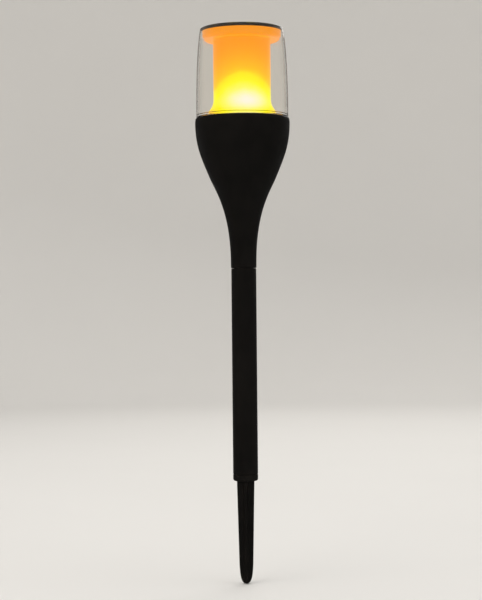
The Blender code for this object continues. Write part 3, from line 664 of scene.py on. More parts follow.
@dataclass(frozen=True)
class ClearPlastic(Finish):
    """Water-clear moulded plastic with faint wipe marks and a trace of dust."""

    colour: Colour = (1.0, 0.985, 0.955)
    # The colour of the painted shade along edges seen edge on.
    painted_edge_shade_colour: Colour = (0.50, 0.36, 0.20)
    dust_colour: Colour = (0.80, 0.70, 0.55)
    ior: float = 1.49
    dust: float = 0.05
    shine: float = 0.12

    def wire(self, w: Wiring, shader: Node) -> None:
        """Clear, with painted shade that turns it a darker brown where it is seen edge on, and wipe
        marks in its gloss.
        """
        dust = w.effect(Effects.dust(), Amount=self.dust).outputs[0]
        # Painted shade: the base colour darkens to brown where the surface is seen edge on,
        # standing in for the dark edge lines of refraction.
        edge_on = w.feed(w.add("LayerWeight"), Blend=0.5).outputs["Facing"]
        painted_edge_shade = w.spread(edge_on, 0.72, 1.0)
        colour = w.blend(painted_edge_shade, self.colour, self.painted_edge_shade_colour)
        w.feed(shader, Base_Color=w.blend(dust, colour, self.dust_colour))
        smears = w.noise(w.stretched(w.place(), (1.0, 1.0, 0.3)), 60.0, 4.0)
        w.feed(shader, Roughness=w.spread(smears, 0.3, 0.75, 0.015, 0.06))
        w.feed(shader, IOR=self.ior, Transmission_Weight=1.0, Metallic=0.0,
               Specular_IOR_Level=self.shine)


@dataclass(frozen=True)
class FlameGlow(Finish):
    """Milky plastic with the LEDs' light painted on as its own glow, a painted hot spot on the wall
    for each LED.

    Round each spot lies a flat pale core, and over it a taller dome of yellow that leans a few
    degrees to one side. The rest glows orange, as an imitation flame does.
    """

    spots: tuple[tuple[Triple, float], ...] = ()
    dome: float = 22.5
    core: Triple = (18.0, 18.0, 7.5)
    lean: float = -11.5
    # Amber base colour: painted glow, the milky plastic tinted as if lit by its LEDs.
    colour: Colour = (0.30, 0.070, 0.002)
    shine: float = 0.3
    strength: float = 1.0
    stops: tuple[tuple[float, Colour], ...] = (
        (0.000, (0.90, 0.300, 0.0)),
        (0.030, (1.0, 0.370, 0.0)),
        (0.080, (1.0, 0.450, 0.0)),
        (0.140, (1.0, 0.530, 0.001)),
        (0.180, (1.0, 0.640, 0.001)),
        (0.225, (1.0, 0.860, 0.001)),
        (0.330, (1.0, 0.980, 0.002)),
        (0.540, (1.0, 1.000, 0.160)),
        (0.800, (1.0, 0.985, 0.520)),
        (1.000, (1.0, 0.970, 0.800)),
    )

    def fade(self, w: Wiring, place: NodeSocket, spot: Triple, size: Triple) -> NodeSocket:
        """A soft blob of light, 1 at its middle.

        Args:
            w: The material's wiring.
            place: The point on the piece.
            spot: The blob's middle, in millimetres.
            size: How far it reaches along each axis, in millimetres.

        Returns:
            How bright the blob is at the point.
        """
        away = w.add("VectorMath", operation="SUBTRACT")
        w.set(away.inputs[0], place)
        w.set(away.inputs[1], tuple(c * MM for c in spot))
        scaled = w.stretched(away.outputs[0], tuple(1 / (c * MM) for c in size))
        length = w.add("VectorMath", operation="LENGTH")
        w.set(length.inputs[0], scaled)
        squared = w.maths("POWER", length.outputs["Value"], 2.0)
        return w.maths("POWER", e, w.maths("MULTIPLY", squared, -1.0))

    def wire(self, w: Wiring, shader: Node) -> None:
        """A painted glow that fades away from each painted hot spot, with a faint milky mottle."""
        place = w.place()
        total: NodeSocket | None = None
        for spot, power in self.spots:
            leaning = Matrix.Rotation(radians(self.lean), 3, "Z") @ Vector(spot)
            dome = self.fade(w, place, tuple(leaning), (self.dome,) * 3)
            core = self.fade(w, place, spot, self.core)
            both = w.maths("MULTIPLY", w.maths("ADD", dome, core), power / 2)
            total = both if total is None else w.maths("ADD", total, both)
        mottle = w.spread(w.noise(place, 130.0, 4.0), 0.3, 0.7, 0.97, 1.03)
        glow = w.maths("MULTIPLY", total, mottle)
        w.feed(shader, Emission_Color=w.ramp(glow, self.stops))
        # Painted glow: the base colour is amber as if lit, not the plastic's own milky white; the
        # noise only varies its tone.
        shade = w.blend(w.noise(place, 90.0), self.colour, toned(self.colour, 0.86))
        w.feed(shader, Base_Color=shade)
        dust = w.effect(Effects.dust(), Amount=0.12).outputs[0]
        w.feed(shader, Roughness=w.spread(dust, 0.0, 1.0, 0.34, 0.6))
        grain = w.effect(Effects.grain(), Fine=1500.0, Broad=60.0)
        self.bump(w, shader, grain.outputs["Height"], 0.00003, 0.25)
        w.feed(shader, Emission_Strength=self.strength, IOR=1.49, Specular_IOR_Level=self.shine)


@dataclass(frozen=True)
class Rubber(Finish):
    """Matt black rubber with a bloom on its surface."""

    colour: Colour = (0.014, 0.014, 0.014)
    bloom: Colour = (0.05, 0.048, 0.045)

    def wire(self, w: Wiring, shader: Node) -> None:
        """A soft bloom over a fine grain."""
        grain = w.effect(Effects.grain(), Fine=2600.0, Broad=160.0)
        blotch = grain.outputs["Blotch"]
        w.feed(shader, Base_Color=w.blend(blotch, self.colour, self.bloom),
               Roughness=w.spread(blotch, 0.0, 1.0, 0.72, 0.88))
        self.bump(w, shader, grain.outputs["Height"], 0.00006, 0.5)


@dataclass(frozen=True)
class SolarCell(Finish):
    """Dark silicon with crystal grains and silver fingers, under clear resin."""

    dark: Colour = (0.006, 0.010, 0.032)
    light: Colour = (0.016, 0.030, 0.085)
    silver: Colour = (0.42, 0.43, 0.45)
    finger_pitch: float = 0.0013
    finger_share: float = 0.085

    def wire(self, w: Wiring, shader: Node) -> None:
        """Crystal grains crossed by thin printed fingers."""
        place = w.place()
        crystals = w.feed(w.add("TexVoronoi"), Vector=place, Scale=420.0)
        shade = w.axes(crystals.outputs["Color"])[0]
        colour = w.blend(shade, self.dark, self.light)
        along = w.maths("DIVIDE", w.axes(place)[1], self.finger_pitch)
        fraction = w.maths("FRACT", w.maths("ADD", along, 500.0))
        finger = w.maths("LESS_THAN", fraction, self.finger_share)
        w.feed(shader, Base_Color=w.blend(finger, colour, self.silver))
        w.feed(shader, Metallic=w.maths("MULTIPLY", finger, 0.8))
        dust = w.effect(Effects.dust(), Amount=0.35).outputs[0]
        w.feed(shader, Roughness=w.spread(dust, 0.0, 1.0, 0.22, 0.5))
        w.feed(shader, Coat_Weight=1.0, Coat_Roughness=0.04, Coat_IOR=1.5)


@dataclass(frozen=True)
class Laminate(Finish):
    """Circuit board under solder mask, with its tracks showing faintly through."""

    mask: Colour = (0.008, 0.075, 0.030)
    track: Colour = (0.020, 0.150, 0.062)
    tracks: bool = True
    coat: float = 0.35

    def wire(self, w: Wiring, shader: Node) -> None:
        """Solder mask with tracks and the board's own weave."""
        place = w.place()
        weave = w.noise(place, 1200.0, 2.0)
        colour = w.blend(weave, self.mask, toned(self.mask, 1.25))
        height: object = weave
        if self.tracks:
            brick = w.add("TexBrick", offset=0.5, squash=0.7)
            w.feed(brick, Vector=place, Scale=150.0, Mortar_Size=0.035, Mortar_Smooth=0.1,
                   Brick_Width=0.9, Row_Height=0.35)
            track = brick.outputs["Fac"]
            colour = w.blend(track, colour, self.track)
            height = w.maths("ADD", w.maths("MULTIPLY", weave, 0.2), track)
        w.feed(shader, Base_Color=colour)
        w.feed(shader, Roughness=w.spread(w.noise(place, 300.0), 0.3, 0.7, 0.32, 0.48))
        w.feed(shader, Coat_Weight=self.coat, Coat_Roughness=0.2)
        self.bump(w, shader, height, 0.00003, 0.6)


@dataclass(frozen=True)
class Metal(Finish):
    """Plated or bright metal with fine drawing marks."""

    colour: Colour = (0.60, 0.60, 0.61)
    tarnish: Colour = (0.42, 0.39, 0.35)
    roughness: float = 0.28

    def wire(self, w: Wiring, shader: Node) -> None:
        """Drawing marks and a light tarnish."""
        place = w.place()
        stain = w.spread(w.noise(place, 500.0, 4.0), 0.45, 0.8)
        w.feed(shader, Base_Color=w.blend(stain, self.colour, self.tarnish))
        marks = w.noise(w.stretched(place, (1.0, 0.15, 1.0)), 3000.0, 3.0)
        w.feed(shader, Metallic=1.0,
               Roughness=w.spread(marks, 0.3, 0.7, self.roughness - 0.07, self.roughness + 0.1))
        self.bump(w, shader, marks, 0.00001, 0.3)


@dataclass(frozen=True)
class Epoxy(Finish):
    """Tinted LED resin with a lit core."""

    colour: Colour = (0.95, 0.52, 0.10)
    pale: Colour = (1.0, 0.80, 0.36)
    glow: Colour = (1.0, 0.62, 0.12)
    strength: float = 2.2
    dim_below: float = 288.5
    bright_above: float = 295.0

    def wire(self, w: Wiring, shader: Node) -> None:
        """Tinted resin that is brightest towards its dome."""
        place = w.place()
        high = w.spread(w.axes(place)[2], self.dim_below * MM, self.bright_above * MM)
        w.feed(shader, Base_Color=w.blend(high, self.colour, self.pale))
        w.feed(shader, Emission_Color=w.blend(high, toned(self.glow, 0.35), self.glow))
        w.feed(shader, Roughness=w.spread(w.noise(place, 700.0), 0.3, 0.7, 0.06, 0.14))
        w.feed(shader, Emission_Strength=self.strength, IOR=1.53)


@dataclass(frozen=True)
class Wrap(Finish):
    """Printed film round the cell: two plain bands and no lettering."""

    body: Colour = (0.022, 0.165, 0.085)
    band: Colour = (0.52, 0.40, 0.14)
    band_from: float = 0.0135

    def wire(self, w: Wiring, shader: Node) -> None:
        """A coloured film with one metallic band at the button's end."""
        place = w.place()
        along = w.axes(place)[0]
        band = w.maths("GREATER_THAN", along, self.band_from)
        scuffs = w.spread(w.noise(place, 380.0, 5.0, 0.7), 0.56, 0.72, 0.0, 0.25)
        colour = w.blend(band, self.body, self.band)
        w.feed(shader, Base_Color=w.blend(scuffs, colour, (0.4, 0.4, 0.38)))
        w.feed(shader, Metallic=w.maths("MULTIPLY", band, 0.7))
        w.feed(shader, Roughness=w.spread(scuffs, 0.0, 0.25, 0.24, 0.45))
        w.feed(shader, Coat_Weight=0.5, Coat_Roughness=0.1)


@dataclass(frozen=True)
class Insulation(Finish):
    """Soft coloured insulation on a lead."""

    colour: Colour = (0.42, 0.012, 0.010)

    def wire(self, w: Wiring, shader: Node) -> None:
        """A waxy surface with slow changes of tone."""
        place = w.place()
        paler = tuple(min(1.0, 1.3 * c + 0.004) for c in self.colour)
        w.feed(shader, Base_Color=w.blend(w.noise(place, 200.0), self.colour, paler))
        w.feed(shader, Roughness=w.spread(w.noise(place, 600.0), 0.3, 0.7, 0.36, 0.52))
        self.bump(w, shader, w.noise(place, 2500.0), 0.00002, 0.3)


@dataclass(frozen=True)
class Moulding(Finish):
    """Small moulded component bodies: chips, switch parts, ferrite and sleeves."""

    colour: Colour = (0.018, 0.018, 0.020)
    roughness: float = 0.42
    gloss_change: float = 0.08

    def wire(self, w: Wiring, shader: Node) -> None:
        """A fine sandy surface with rubbed edges."""
        grain = w.effect(Effects.grain(), Fine=4200.0, Broad=400.0)
        worn = w.effect(Effects.edge_wear(), Width=0.0002, Amount=0.6).outputs[0]
        blotch = grain.outputs["Blotch"]
        colour = w.blend(blotch, self.colour, toned(self.colour, 1.5))
        w.feed(shader, Base_Color=w.blend(worn, colour, toned(self.colour, 4)))
        w.feed(shader, Roughness=w.spread(blotch, 0.0, 1.0, self.roughness - self.gloss_change,
                                          self.roughness + self.gloss_change))
        self.bump(w, shader, grain.outputs["Height"], 0.00003, 0.5)


@dataclass(frozen=True)
class PaleSweep(Finish):
    """The studio's pale paper, which can't be seen from behind."""

    colour: Colour = (0.80, 0.785, 0.76)

    def wire(self, w: Wiring, shader: Node) -> None:
        """Plain paper with the faintest change of tone."""
        place = w.place()
        colour = w.blend(w.noise(place, 3.0), self.colour, toned(self.colour, 0.97))
        w.feed(shader, Base_Color=colour, Roughness=0.9)
        behind = w.add("NewGeometry").outputs["Backfacing"]
        w.feed(shader, Alpha=w.maths("SUBTRACT", 1.0, behind))


CUP_PLASTIC = MouldedPlastic("Cup plastic")
POLE_PLASTIC = MouldedPlastic("Pole plastic", roughness=0.42, lines=0.8, dust=0.06)
SPIKE_PLASTIC = MouldedPlastic("Spike plastic", roughness=0.5, lines=0.3, dust=0.14, wear=0.8)
CAP_PLASTIC = MouldedPlastic("Cap plastic", roughness=0.38, dust=0.12, wear=0.5)
BASE_PLASTIC = MouldedPlastic("Base plastic", roughness=0.5, dust=0.03, wear=0.35)
LENS_PLASTIC = ClearPlastic("Lens plastic")
SEAL_RUBBER = Rubber("Seal rubber")
CELL_SILICON = SolarCell("Cell silicon")
PANEL_BOARD = Laminate("Panel board", mask=(0.010, 0.011, 0.014), tracks=False, coat=1.0)
LED_BOARD = Laminate("Board laminate")
SOLDER = Metal("Solder", colour=(0.72, 0.72, 0.71), tarnish=(0.5, 0.48, 0.44), roughness=0.25)
SCREW_STEEL = Metal("Screw steel", roughness=0.3)
SPRING_STEEL = Metal("Spring steel", colour=(0.66, 0.66, 0.67), roughness=0.2)
COPPER = Metal("Copper wire", colour=(0.80, 0.36, 0.15), tarnish=(0.5, 0.2, 0.09), roughness=0.22)
LED_EPOXY = Epoxy("LED epoxy")
CHIP_BLACK = Moulding("Component black")
FERRITE = Moulding("Ferrite", colour=(0.035, 0.034, 0.036), roughness=0.6)
KNOB_WHITE = Moulding("Switch knob", colour=(0.13, 0.13, 0.13), roughness=0.45)
SLEEVE = Moulding("Capacitor sleeve", colour=(0.010, 0.016, 0.050), roughness=0.3)
WRAP_FILM = Wrap("Cell wrap")
RED_WIRE = Insulation("Red lead")
BLACK_WIRE = Insulation("Black lead", colour=(0.012, 0.012, 0.013))
PAPER = PaleSweep("Pale sweep")


def hang(shape: BMesh, name: str, finish: Finish, body: Body, slot: Slot, *stands_for: str,
         crease: float = CREASE) -> Object:
    """Makes a shape into a named piece that rides on a body.

    Args:
        shape: The shape, which is used up.
        name: The piece's name.
        finish: Its finish.
        body: The body it moves with.
        slot: A slot of the record; not used.
        stands_for: The frame's nodes that it replaces.
        crease: The angle in radians past which an edge stays sharp.

    Returns:
        The piece.
    """
    mesh = bpy.data.meshes.new(name)
    shape.to_mesh(mesh)
    shape.free()
    mesh.shade_smooth()
    mesh.set_sharp_from_angle(angle=crease)
    mesh.materials.append(finish.material())
    piece = bpy.data.objects.new(name, mesh)
    bpy.context.scene.collection.objects.link(piece)
    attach(piece, body.value)
    if stands_for:
        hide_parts(*stands_for)
    LOG.info("%s: %d faces on %s", name, len(mesh.polygons), body.value)
    return piece


def extent(node: str) -> tuple[Vector, Vector]:
    """The lowest and highest corner of a frame node's box, in millimetres."""
    low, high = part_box(node)
    return low / MM, high / MM


def middle_and_half(node: str) -> tuple[Vector, Vector]:
    """The middle of a frame node's box and half of its size, in millimetres."""
    low, high = extent(node)
    return (low + high) / 2, (high - low) / 2


def heights(node: str) -> Pair:
    """The lowest and highest point of a frame node, in millimetres."""
    low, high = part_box(node)
    return low.z / MM, high.z / MM


def reach(node: str) -> float:
    """How far a frame node reaches from the axis along X, in millimetres."""
    low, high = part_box(node)
    return max(-low.x, high.x) / MM


SEAM_ANGLES = (0.0, 180.0)


def seam(height: float, low: float, high: float) -> Callable[[float, float], float]:
    """A mould's parting line: a low ridge up both sides of a piece between two heights."""
    def proud(angle: float, z: float) -> float:
        """How far the line stands out at an angle in radians and a height."""
        on_line = any(abs(sin(angle - radians(a))) < 1e-6 for a in SEAM_ANGLES)
        return height if on_line and low < z < high else 0.0

    return proud


# ---------------------------------------------------------------- the torch's pieces


@dataclass
class GroundSpike:
    """Collar, hollow plug and four tapered ribs, moulded in one."""

    half_width: float = 6.95
    shoulder_half: float = 5.5
    shoulder: float = -66.0
    tip_half: float = 2.2
    rib: float = 2.6
    rib_top: float = 0.6
    web_top: float = 3.6
    web_tip: float = 0.4
    edge: float = 0.45
    collar_top: float = 5.0
    collar_corner: float = 1.7
    plug_radius: float = 8.0
    plug_bore: float = 6.2
    plug_floor: float = 9.0
    guide: float = 0.2
    guide_width: float = 3.0

    def side(self, tip: float) -> list[Pair]:
        """(half width, height) down the ribs' edge to the tip."""
        upper = [
            (self.half_width + (self.shoulder_half - self.half_width) * i / 12,
             self.rib_top + (self.shoulder - self.rib_top) * i / 12)
            for i in range(12)
        ]
        lower = bezier((self.shoulder_half, self.shoulder), (self.shoulder_half - 0.4, tip + 7),
                       (self.tip_half + 2.2, tip + 2), (self.tip_half, tip + 0.5), 16)
        end = [(self.tip_half, tip + 0.5), (self.tip_half - 0.25, tip + 0.15),
               (self.tip_half - 0.7, tip)]
        return [*upper, *lower, *end]

    def section(self, half: float, thick: float, web: float, height: float) -> list[Triple]:
        """One ring round the cross, with rounded rib edges and filleted webs."""
        edge = min(self.edge, thick / 2 - 0.05)
        ring: list[Triple] = []
        for quarter in range(4):
            points = [
                *corner((half - edge, edge - thick / 2), edge, -90, 0, 4),
                *corner((half - edge, thick / 2 - edge), edge, 0, 90, 4),
                *corner((thick / 2 + web, thick / 2 + web), web, 270, 180, 8),
            ]
            turn = Matrix.Rotation(quarter * pi / 2, 2)
            ring += [(*(turn @ Vector(p)), height) for p in points]
        return ring

    def build(self) -> None:
        """Makes the spike."""
        tip, plug_top = heights("ground_spike")
        rings = []
        for half, z in self.side(tip):
            share = min(1.0, max(0.0, z / tip))
            web = self.web_top + (self.web_tip - self.web_top) * share
            web = max(0.15, min(web, half - self.rib / 2 - self.edge - 0.1))
            thick = min(self.rib, 2 * half - 1.0)
            rings.append(self.section(half, thick, web, z))
        collar_radius = reach("ground_spike")
        top = [
            (0, self.plug_floor),
            (self.plug_bore - 0.5, self.plug_floor),
            *corner((self.plug_bore - 0.5, self.plug_floor + 0.5), 0.5, -90, 0, 3),
            (self.plug_bore, plug_top - 0.3),
            *corner((self.plug_bore + 0.3, plug_top - 0.3), 0.3, 180, 90, 3),
            (self.plug_radius - 0.9, plug_top),
            (self.plug_radius - 0.7, plug_top - 0.15),
            (self.plug_radius, plug_top - 2.0),
            (self.plug_radius, plug_top - 2.4),
            (self.plug_radius, self.collar_top + 0.25),
            *corner((self.plug_radius + 0.2, self.collar_top + 0.2), 0.2, 180, 270, 2),
            *corner((collar_radius - 0.25, self.collar_top - 0.25), 0.25, 90, 0, 4),
            *corner((collar_radius - self.collar_corner, self.collar_corner), self.collar_corner,
                    0, -90, 8),
            (0, 0),
        ]
        low, high = self.collar_top + 0.6, plug_top - 2.2
        guides = [quarter * pi / 2 + pi / 4 for quarter in range(4)]

        def proud(angle: float, z: float) -> float:
            """How far a guide stands out at an angle in radians and a height."""
            near = any(abs((angle - g + pi) % (2 * pi) - pi) < radians(self.guide_width)
                       for g in guides)
            return self.guide if near and low < z < high else 0.0

        shape = together(turned(top, SLIM_ROUND, proud=proud), skinned(rings))
        hang(shape, "ground_spike_moulding", SPIKE_PLASTIC, Body.SPIKE, Slot.BLACK, "ground_spike")


@dataclass
class PoleTube:
    """The drawn black tube between the spike and the cup."""

    bore: float = 8.35
    chamfer: float = 0.35

    def build(self) -> None:
        """Makes the pole."""
        bottom, top = heights("pole_tube")
        radius = reach("pole_tube")
        c = self.chamfer
        levels = [top - c - (top - bottom - 2 * c) * i / 24 for i in range(25)]
        outline = [
            (self.bore + 0.2, top),
            (radius - c, top),
            *[(radius, z) for z in levels],
            (radius - c, bottom),
            (self.bore + 0.2, bottom),
            (self.bore, bottom + 0.2),
            (self.bore, top - 0.2),
        ]
        shape = turned(outline, SLIM_ROUND, loop=True)
        hang(shape, "pole_drawn_tube", POLE_PLASTIC, Body.POLE, Slot.BLACK, "pole_tube")


@dataclass
class TorchCup:
    """The tulip cup, from its spigot in the pole to the socket that takes the lamp head."""

    neck_foot: float = 168.8
    neck_radius: float = 10.1
    neck_straight_top: float = 172.0
    neck_foot_pull: float = 214.0
    neck_top_pull: Pair = (21.9, 230.0)
    flare: Pair = (26.1, 240.0)
    bowl_foot_pull: Pair = (32.8, 256.0)
    bowl_rim_pull: float = 265.8
    widest: float = 284.8
    rim_corner: float = 1.5
    wall: float = 2.0
    spigot_radius: float = 8.0
    spigot_bore: float = 6.4
    socket_radius: float = 35.5
    socket_floor: float = 276.0
    well_radius: float = 33.0
    well_bottom: float = 267.0
    well_shoulder: Pair = (31.2, 258.0)
    bead: float = 0.85
    ledge_reach: float = 35.25
    ledge_height: float = 282.9
    ledge_angles: Pair = (-24.0, -52.5)
    stop_height: float = 280.6
    ledges: int = 3
    line: float = 0.07

    def outline(self) -> list[Pair]:
        """The section's loop: down the outside and the spigot, and up the inside."""
        bottom, rim = heights("torch_cup")
        radius = reach("torch_cup")
        rim_centre = (radius - self.rim_corner - 0.2, rim - self.rim_corner)
        bore_top = (self.flare[0] - self.wall, self.flare[1])
        return [
            *corner(rim_centre, self.rim_corner, 90, 12, 8),
            *bezier((radius, self.widest), (radius, self.bowl_rim_pull), self.bowl_foot_pull,
                    self.flare, 34),
            *bezier(self.flare, self.neck_top_pull, (self.neck_radius, self.neck_foot_pull),
                    (self.neck_radius, self.neck_straight_top), 40),
            (self.neck_radius, self.neck_straight_top),
            (self.neck_radius, self.neck_foot + 0.3),
            (self.neck_radius - 0.3, self.neck_foot),
            (self.spigot_radius, self.neck_foot),
            (self.spigot_radius, self.neck_foot - 0.8),
            (self.spigot_radius, bottom + 2.2),
            *corner((self.spigot_radius - 1.2, bottom + 1.2), 1.2, 0, -90, 5),
            (self.spigot_bore, bottom),
            *reversed(bezier(bore_top, (bore_top[0] - 6, self.flare[1] - 13),
                             (self.spigot_bore + 1, self.flare[1] - 28),
                             (self.spigot_bore, self.flare[1] - 44), 18)),
            *bezier((bore_top[0] + 0.4, self.flare[1] + 1.0), (bore_top[0] + 3.4, 247.0),
                    (self.well_shoulder[0] - 2.0, 253.0), self.well_shoulder, 8),
            *bezier(self.well_shoulder, (32.3, 261.0), (self.well_radius, 264.5),
                    (self.well_radius, self.well_bottom), 6),
            (self.well_radius, self.socket_floor - 0.3),
            (self.well_radius + 0.3, self.socket_floor),
            (self.socket_radius - 0.4, self.socket_floor),
            (self.socket_radius, self.socket_floor + 0.4),
            (self.socket_radius, rim - 0.7),
            (self.socket_radius + 0.12, rim - 0.3),
            (self.socket_radius + 0.45, rim),
        ]

    def ledge(self, number: int) -> BMesh:
        """One hooked ledge inside the rim, for the lens's lug to turn under."""
        start = 360 * number / self.ledges
        near, far = self.ledge_angles
        angles = [start + near + (far - near) * i / 18 for i in range(19)]
        path = [polar(self.ledge_reach, a, self.ledge_height) for a in angles]
        path.append(polar(self.ledge_reach, start + far - 0.8, self.ledge_height - 0.9))
        path.append(polar(self.ledge_reach, start + far - 0.9, self.stop_height))
        return wire(path, self.bead)

    def build(self) -> None:
        """Makes the cup."""
        proud = seam(self.line, self.neck_foot + 1, self.widest + 1)
        shell = turned(self.outline(), columns(ROUND, SEAM_ANGLES), loop=True, proud=proud)
        shape = together(shell, *[self.ledge(i) for i in range(self.ledges)])
        hang(shape, "torch_cup_moulding", CUP_PLASTIC, Body.CUP, Slot.BLACK, "torch_cup")


@dataclass
class RimSeal:
    """The round rubber ring on the socket's floor."""

    section: float = 0.7

    def build(self) -> None:
        """Makes the seal."""
        low, high = heights("rim_seal")
        middle = reach("rim_seal") - self.section
        loop = corner((middle, (low + high) / 2), self.section, 90, -255, 23)
        shape = turned(loop, ROUND, loop=True)
        hang(shape, "rim_seal_ring", SEAL_RUBBER, Body.SEAL, Slot.RUBBER, "rim_seal")


BASE_SCREWS = (30.0, 150.0, 270.0)
BASE_SCREW_REACH = 30.2
SCREW_HOLE = 1.35


@dataclass
class ClearLens:
    """The clear barrel, its stepped skirt, its inner lip and the bayonet's three lugs."""

    wall: float = 1.8
    full_height: float = 292.0
    shoulder: float = 357.9
    shoulder_radius: float = 33.0
    mouth: float = 32.55
    skirt_top: float = 288.2
    skirt_radius: float = 34.0
    skirt_bore: float = 32.6
    lip: Pair = (285.0, 286.6)
    lip_bore: float = 28.7
    step_top: float = 289.8
    lug_reach: float = 34.25
    lug_height: float = 280.6
    lug_half: float = 10.0
    lug: float = 0.85

    def outline(self) -> list[Pair]:
        """The section's loop: down the outside, round the skirt and up the inside."""
        bottom, top = heights("clear_lens")
        radius = reach("clear_lens")
        full = (radius, self.full_height)
        barrel = bezier((self.shoulder_radius, self.shoulder),
                        (self.shoulder_radius + 2.3, self.shoulder - 12.9), (radius, 320.0), full,
                        34)
        inside = [(r - self.wall, z) for r, z in reversed(barrel[7:])]
        return [
            (self.shoulder_radius - 0.12, top - 0.12),
            *barrel,
            full,
            (radius, self.skirt_top + 0.3),
            (radius - 0.3, self.skirt_top),
            (self.skirt_radius + 0.15, self.skirt_top),
            (self.skirt_radius, self.skirt_top - 0.15),
            (self.skirt_radius, bottom + 0.3),
            (self.skirt_radius - 0.3, bottom),
            (self.skirt_bore + 0.2, bottom),
            (self.skirt_bore, bottom + 0.2),
            (self.skirt_bore, self.lip[0]),
            (self.lip_bore, self.lip[0]),
            (self.lip_bore, self.lip[1]),
            (self.skirt_bore, self.lip[1]),
            (self.skirt_bore, self.step_top),
            *corner((radius - self.wall - 0.6, self.step_top + 0.6), 0.6, -90, 0, 5),
            *inside,
            (self.mouth + 0.08, self.shoulder - 7.8),
            (self.mouth, self.shoulder - 7),
            (self.mouth, top - 0.15),
            (self.mouth + 0.12, top),
            (self.shoulder_radius - 0.2, top),
        ]

    def build(self) -> None:
        """Makes the lens."""
        shell = turned(self.outline(), ROUND, loop=True)
        holes = [
            post(SCREW_HOLE, self.lip[0] - 1, self.lip[1] + 1, polar(BASE_SCREW_REACH, a)[:2])
            for a in BASE_SCREWS
        ]
        lugs = []
        for i in range(len(BASE_SCREWS)):
            middle = 360 * i / len(BASE_SCREWS)
            angles = [middle + self.lug_half * (j / 8 - 1) for j in range(17)]
            lugs.append(wire([polar(self.lug_reach, a, self.lug_height) for a in angles], self.lug))
        shape = carved(shell, lugs, holes)
        hang(shape, "clear_lens_moulding", LENS_PLASTIC, Body.HEAD, Slot.CLEAR, "clear_lens",
             crease=radians(28))


@dataclass
class FlameDiffuser:
    """The milky spool: foot flange, flared foot, straight tube and a dish under the cap."""

    wall: float = 1.6
    flange_top: float = 288.9
    foot_radius: float = 28.3
    tube_foot: float = 302.0
    tube_radius: float = 22.7
    dish_bottom: float = 349.0
    dish_radius: float = 30.9
    dish_corner: float = 3.0
    dish_bore: float = 27.5
    neck_corner: float = 1.2
    pilot_top: float = 288.5
    spot_height: float = 299.6
    powers: Triple = (1.0, 0.45, 0.35)

    def hot_spots(self) -> tuple[tuple[Triple, float], ...]:
        """Where each LED's painted hot spot lies on the tube's wall, and how strong it is. The
        front one leads.
        """
        spots = []
        for number, power in enumerate(self.powers, 1):
            low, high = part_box(f"flicker_led_{number}")
            out = (low + high) / 2
            out.z = 0.0
            middle = out.normalized() * self.tube_radius
            spots.append(((middle.x, middle.y, self.spot_height), power))
        return tuple(spots)

    def outline(self) -> list[Pair]:
        """The section's loop: down the outside, in at the foot and up the inside."""
        bottom, top = heights("flame_diffuser")
        flange = reach("flame_diffuser")
        bore = self.tube_radius - self.wall
        flare = bezier((self.tube_radius, self.tube_foot),
                       (self.tube_radius + 0.2, self.tube_foot - 5.5),
                       (self.foot_radius - 1.9, self.tube_foot - 10),
                       (self.foot_radius, self.flange_top), 18)
        neck = self.dish_bottom - self.neck_corner
        levels = [neck - (neck - self.tube_foot) * i / 16 for i in range(16)]
        inner = (self.dish_bore, self.dish_bottom + self.wall + self.neck_corner)
        return [
            (self.dish_radius - 0.3, top),
            (self.dish_radius, top - 0.3),
            *corner((self.dish_radius - self.dish_corner, self.dish_bottom + self.dish_corner),
                    self.dish_corner, 0, -90, 12),
            *corner((self.tube_radius + self.neck_corner, neck), self.neck_corner, 90, 180, 6),
            *[(self.tube_radius, z) for z in levels[1:]],
            *flare,
            (self.foot_radius + 0.25, self.flange_top),
            (flange - 0.3, self.flange_top),
            (flange, self.flange_top - 0.3),
            (flange, bottom + 0.2),
            (flange - 0.2, bottom),
            (self.foot_radius - self.wall, bottom),
            *[(r - self.wall, z) for r, z in reversed(flare)],
            (bore, self.dish_bottom + self.wall - 0.4),
            (bore + 0.4, self.dish_bottom + self.wall),
            *corner(inner, self.neck_corner, -90, 0, 5),
            (inner[0] + 2.2, top),
        ]

    def build(self) -> None:
        """Makes the diffuser."""
        shell = turned(self.outline(), ROUND, loop=True)
        bottom, _ = heights("flame_diffuser")
        pilots = [
            post(SCREW_HOLE, bottom - 1, self.pilot_top, polar(BASE_SCREW_REACH, a)[:2])
            for a in BASE_SCREWS
        ]
        # The diffuser's glow and hot spots are painted emission, not light cast by the LEDs.
        glow = FlameGlow("Flame glow", spots=self.hot_spots())
        hang(carved(shell, cut=pilots), "flame_diffuser_spool", glow, Body.HEAD, Slot.MILKY,
             "flame_diffuser")


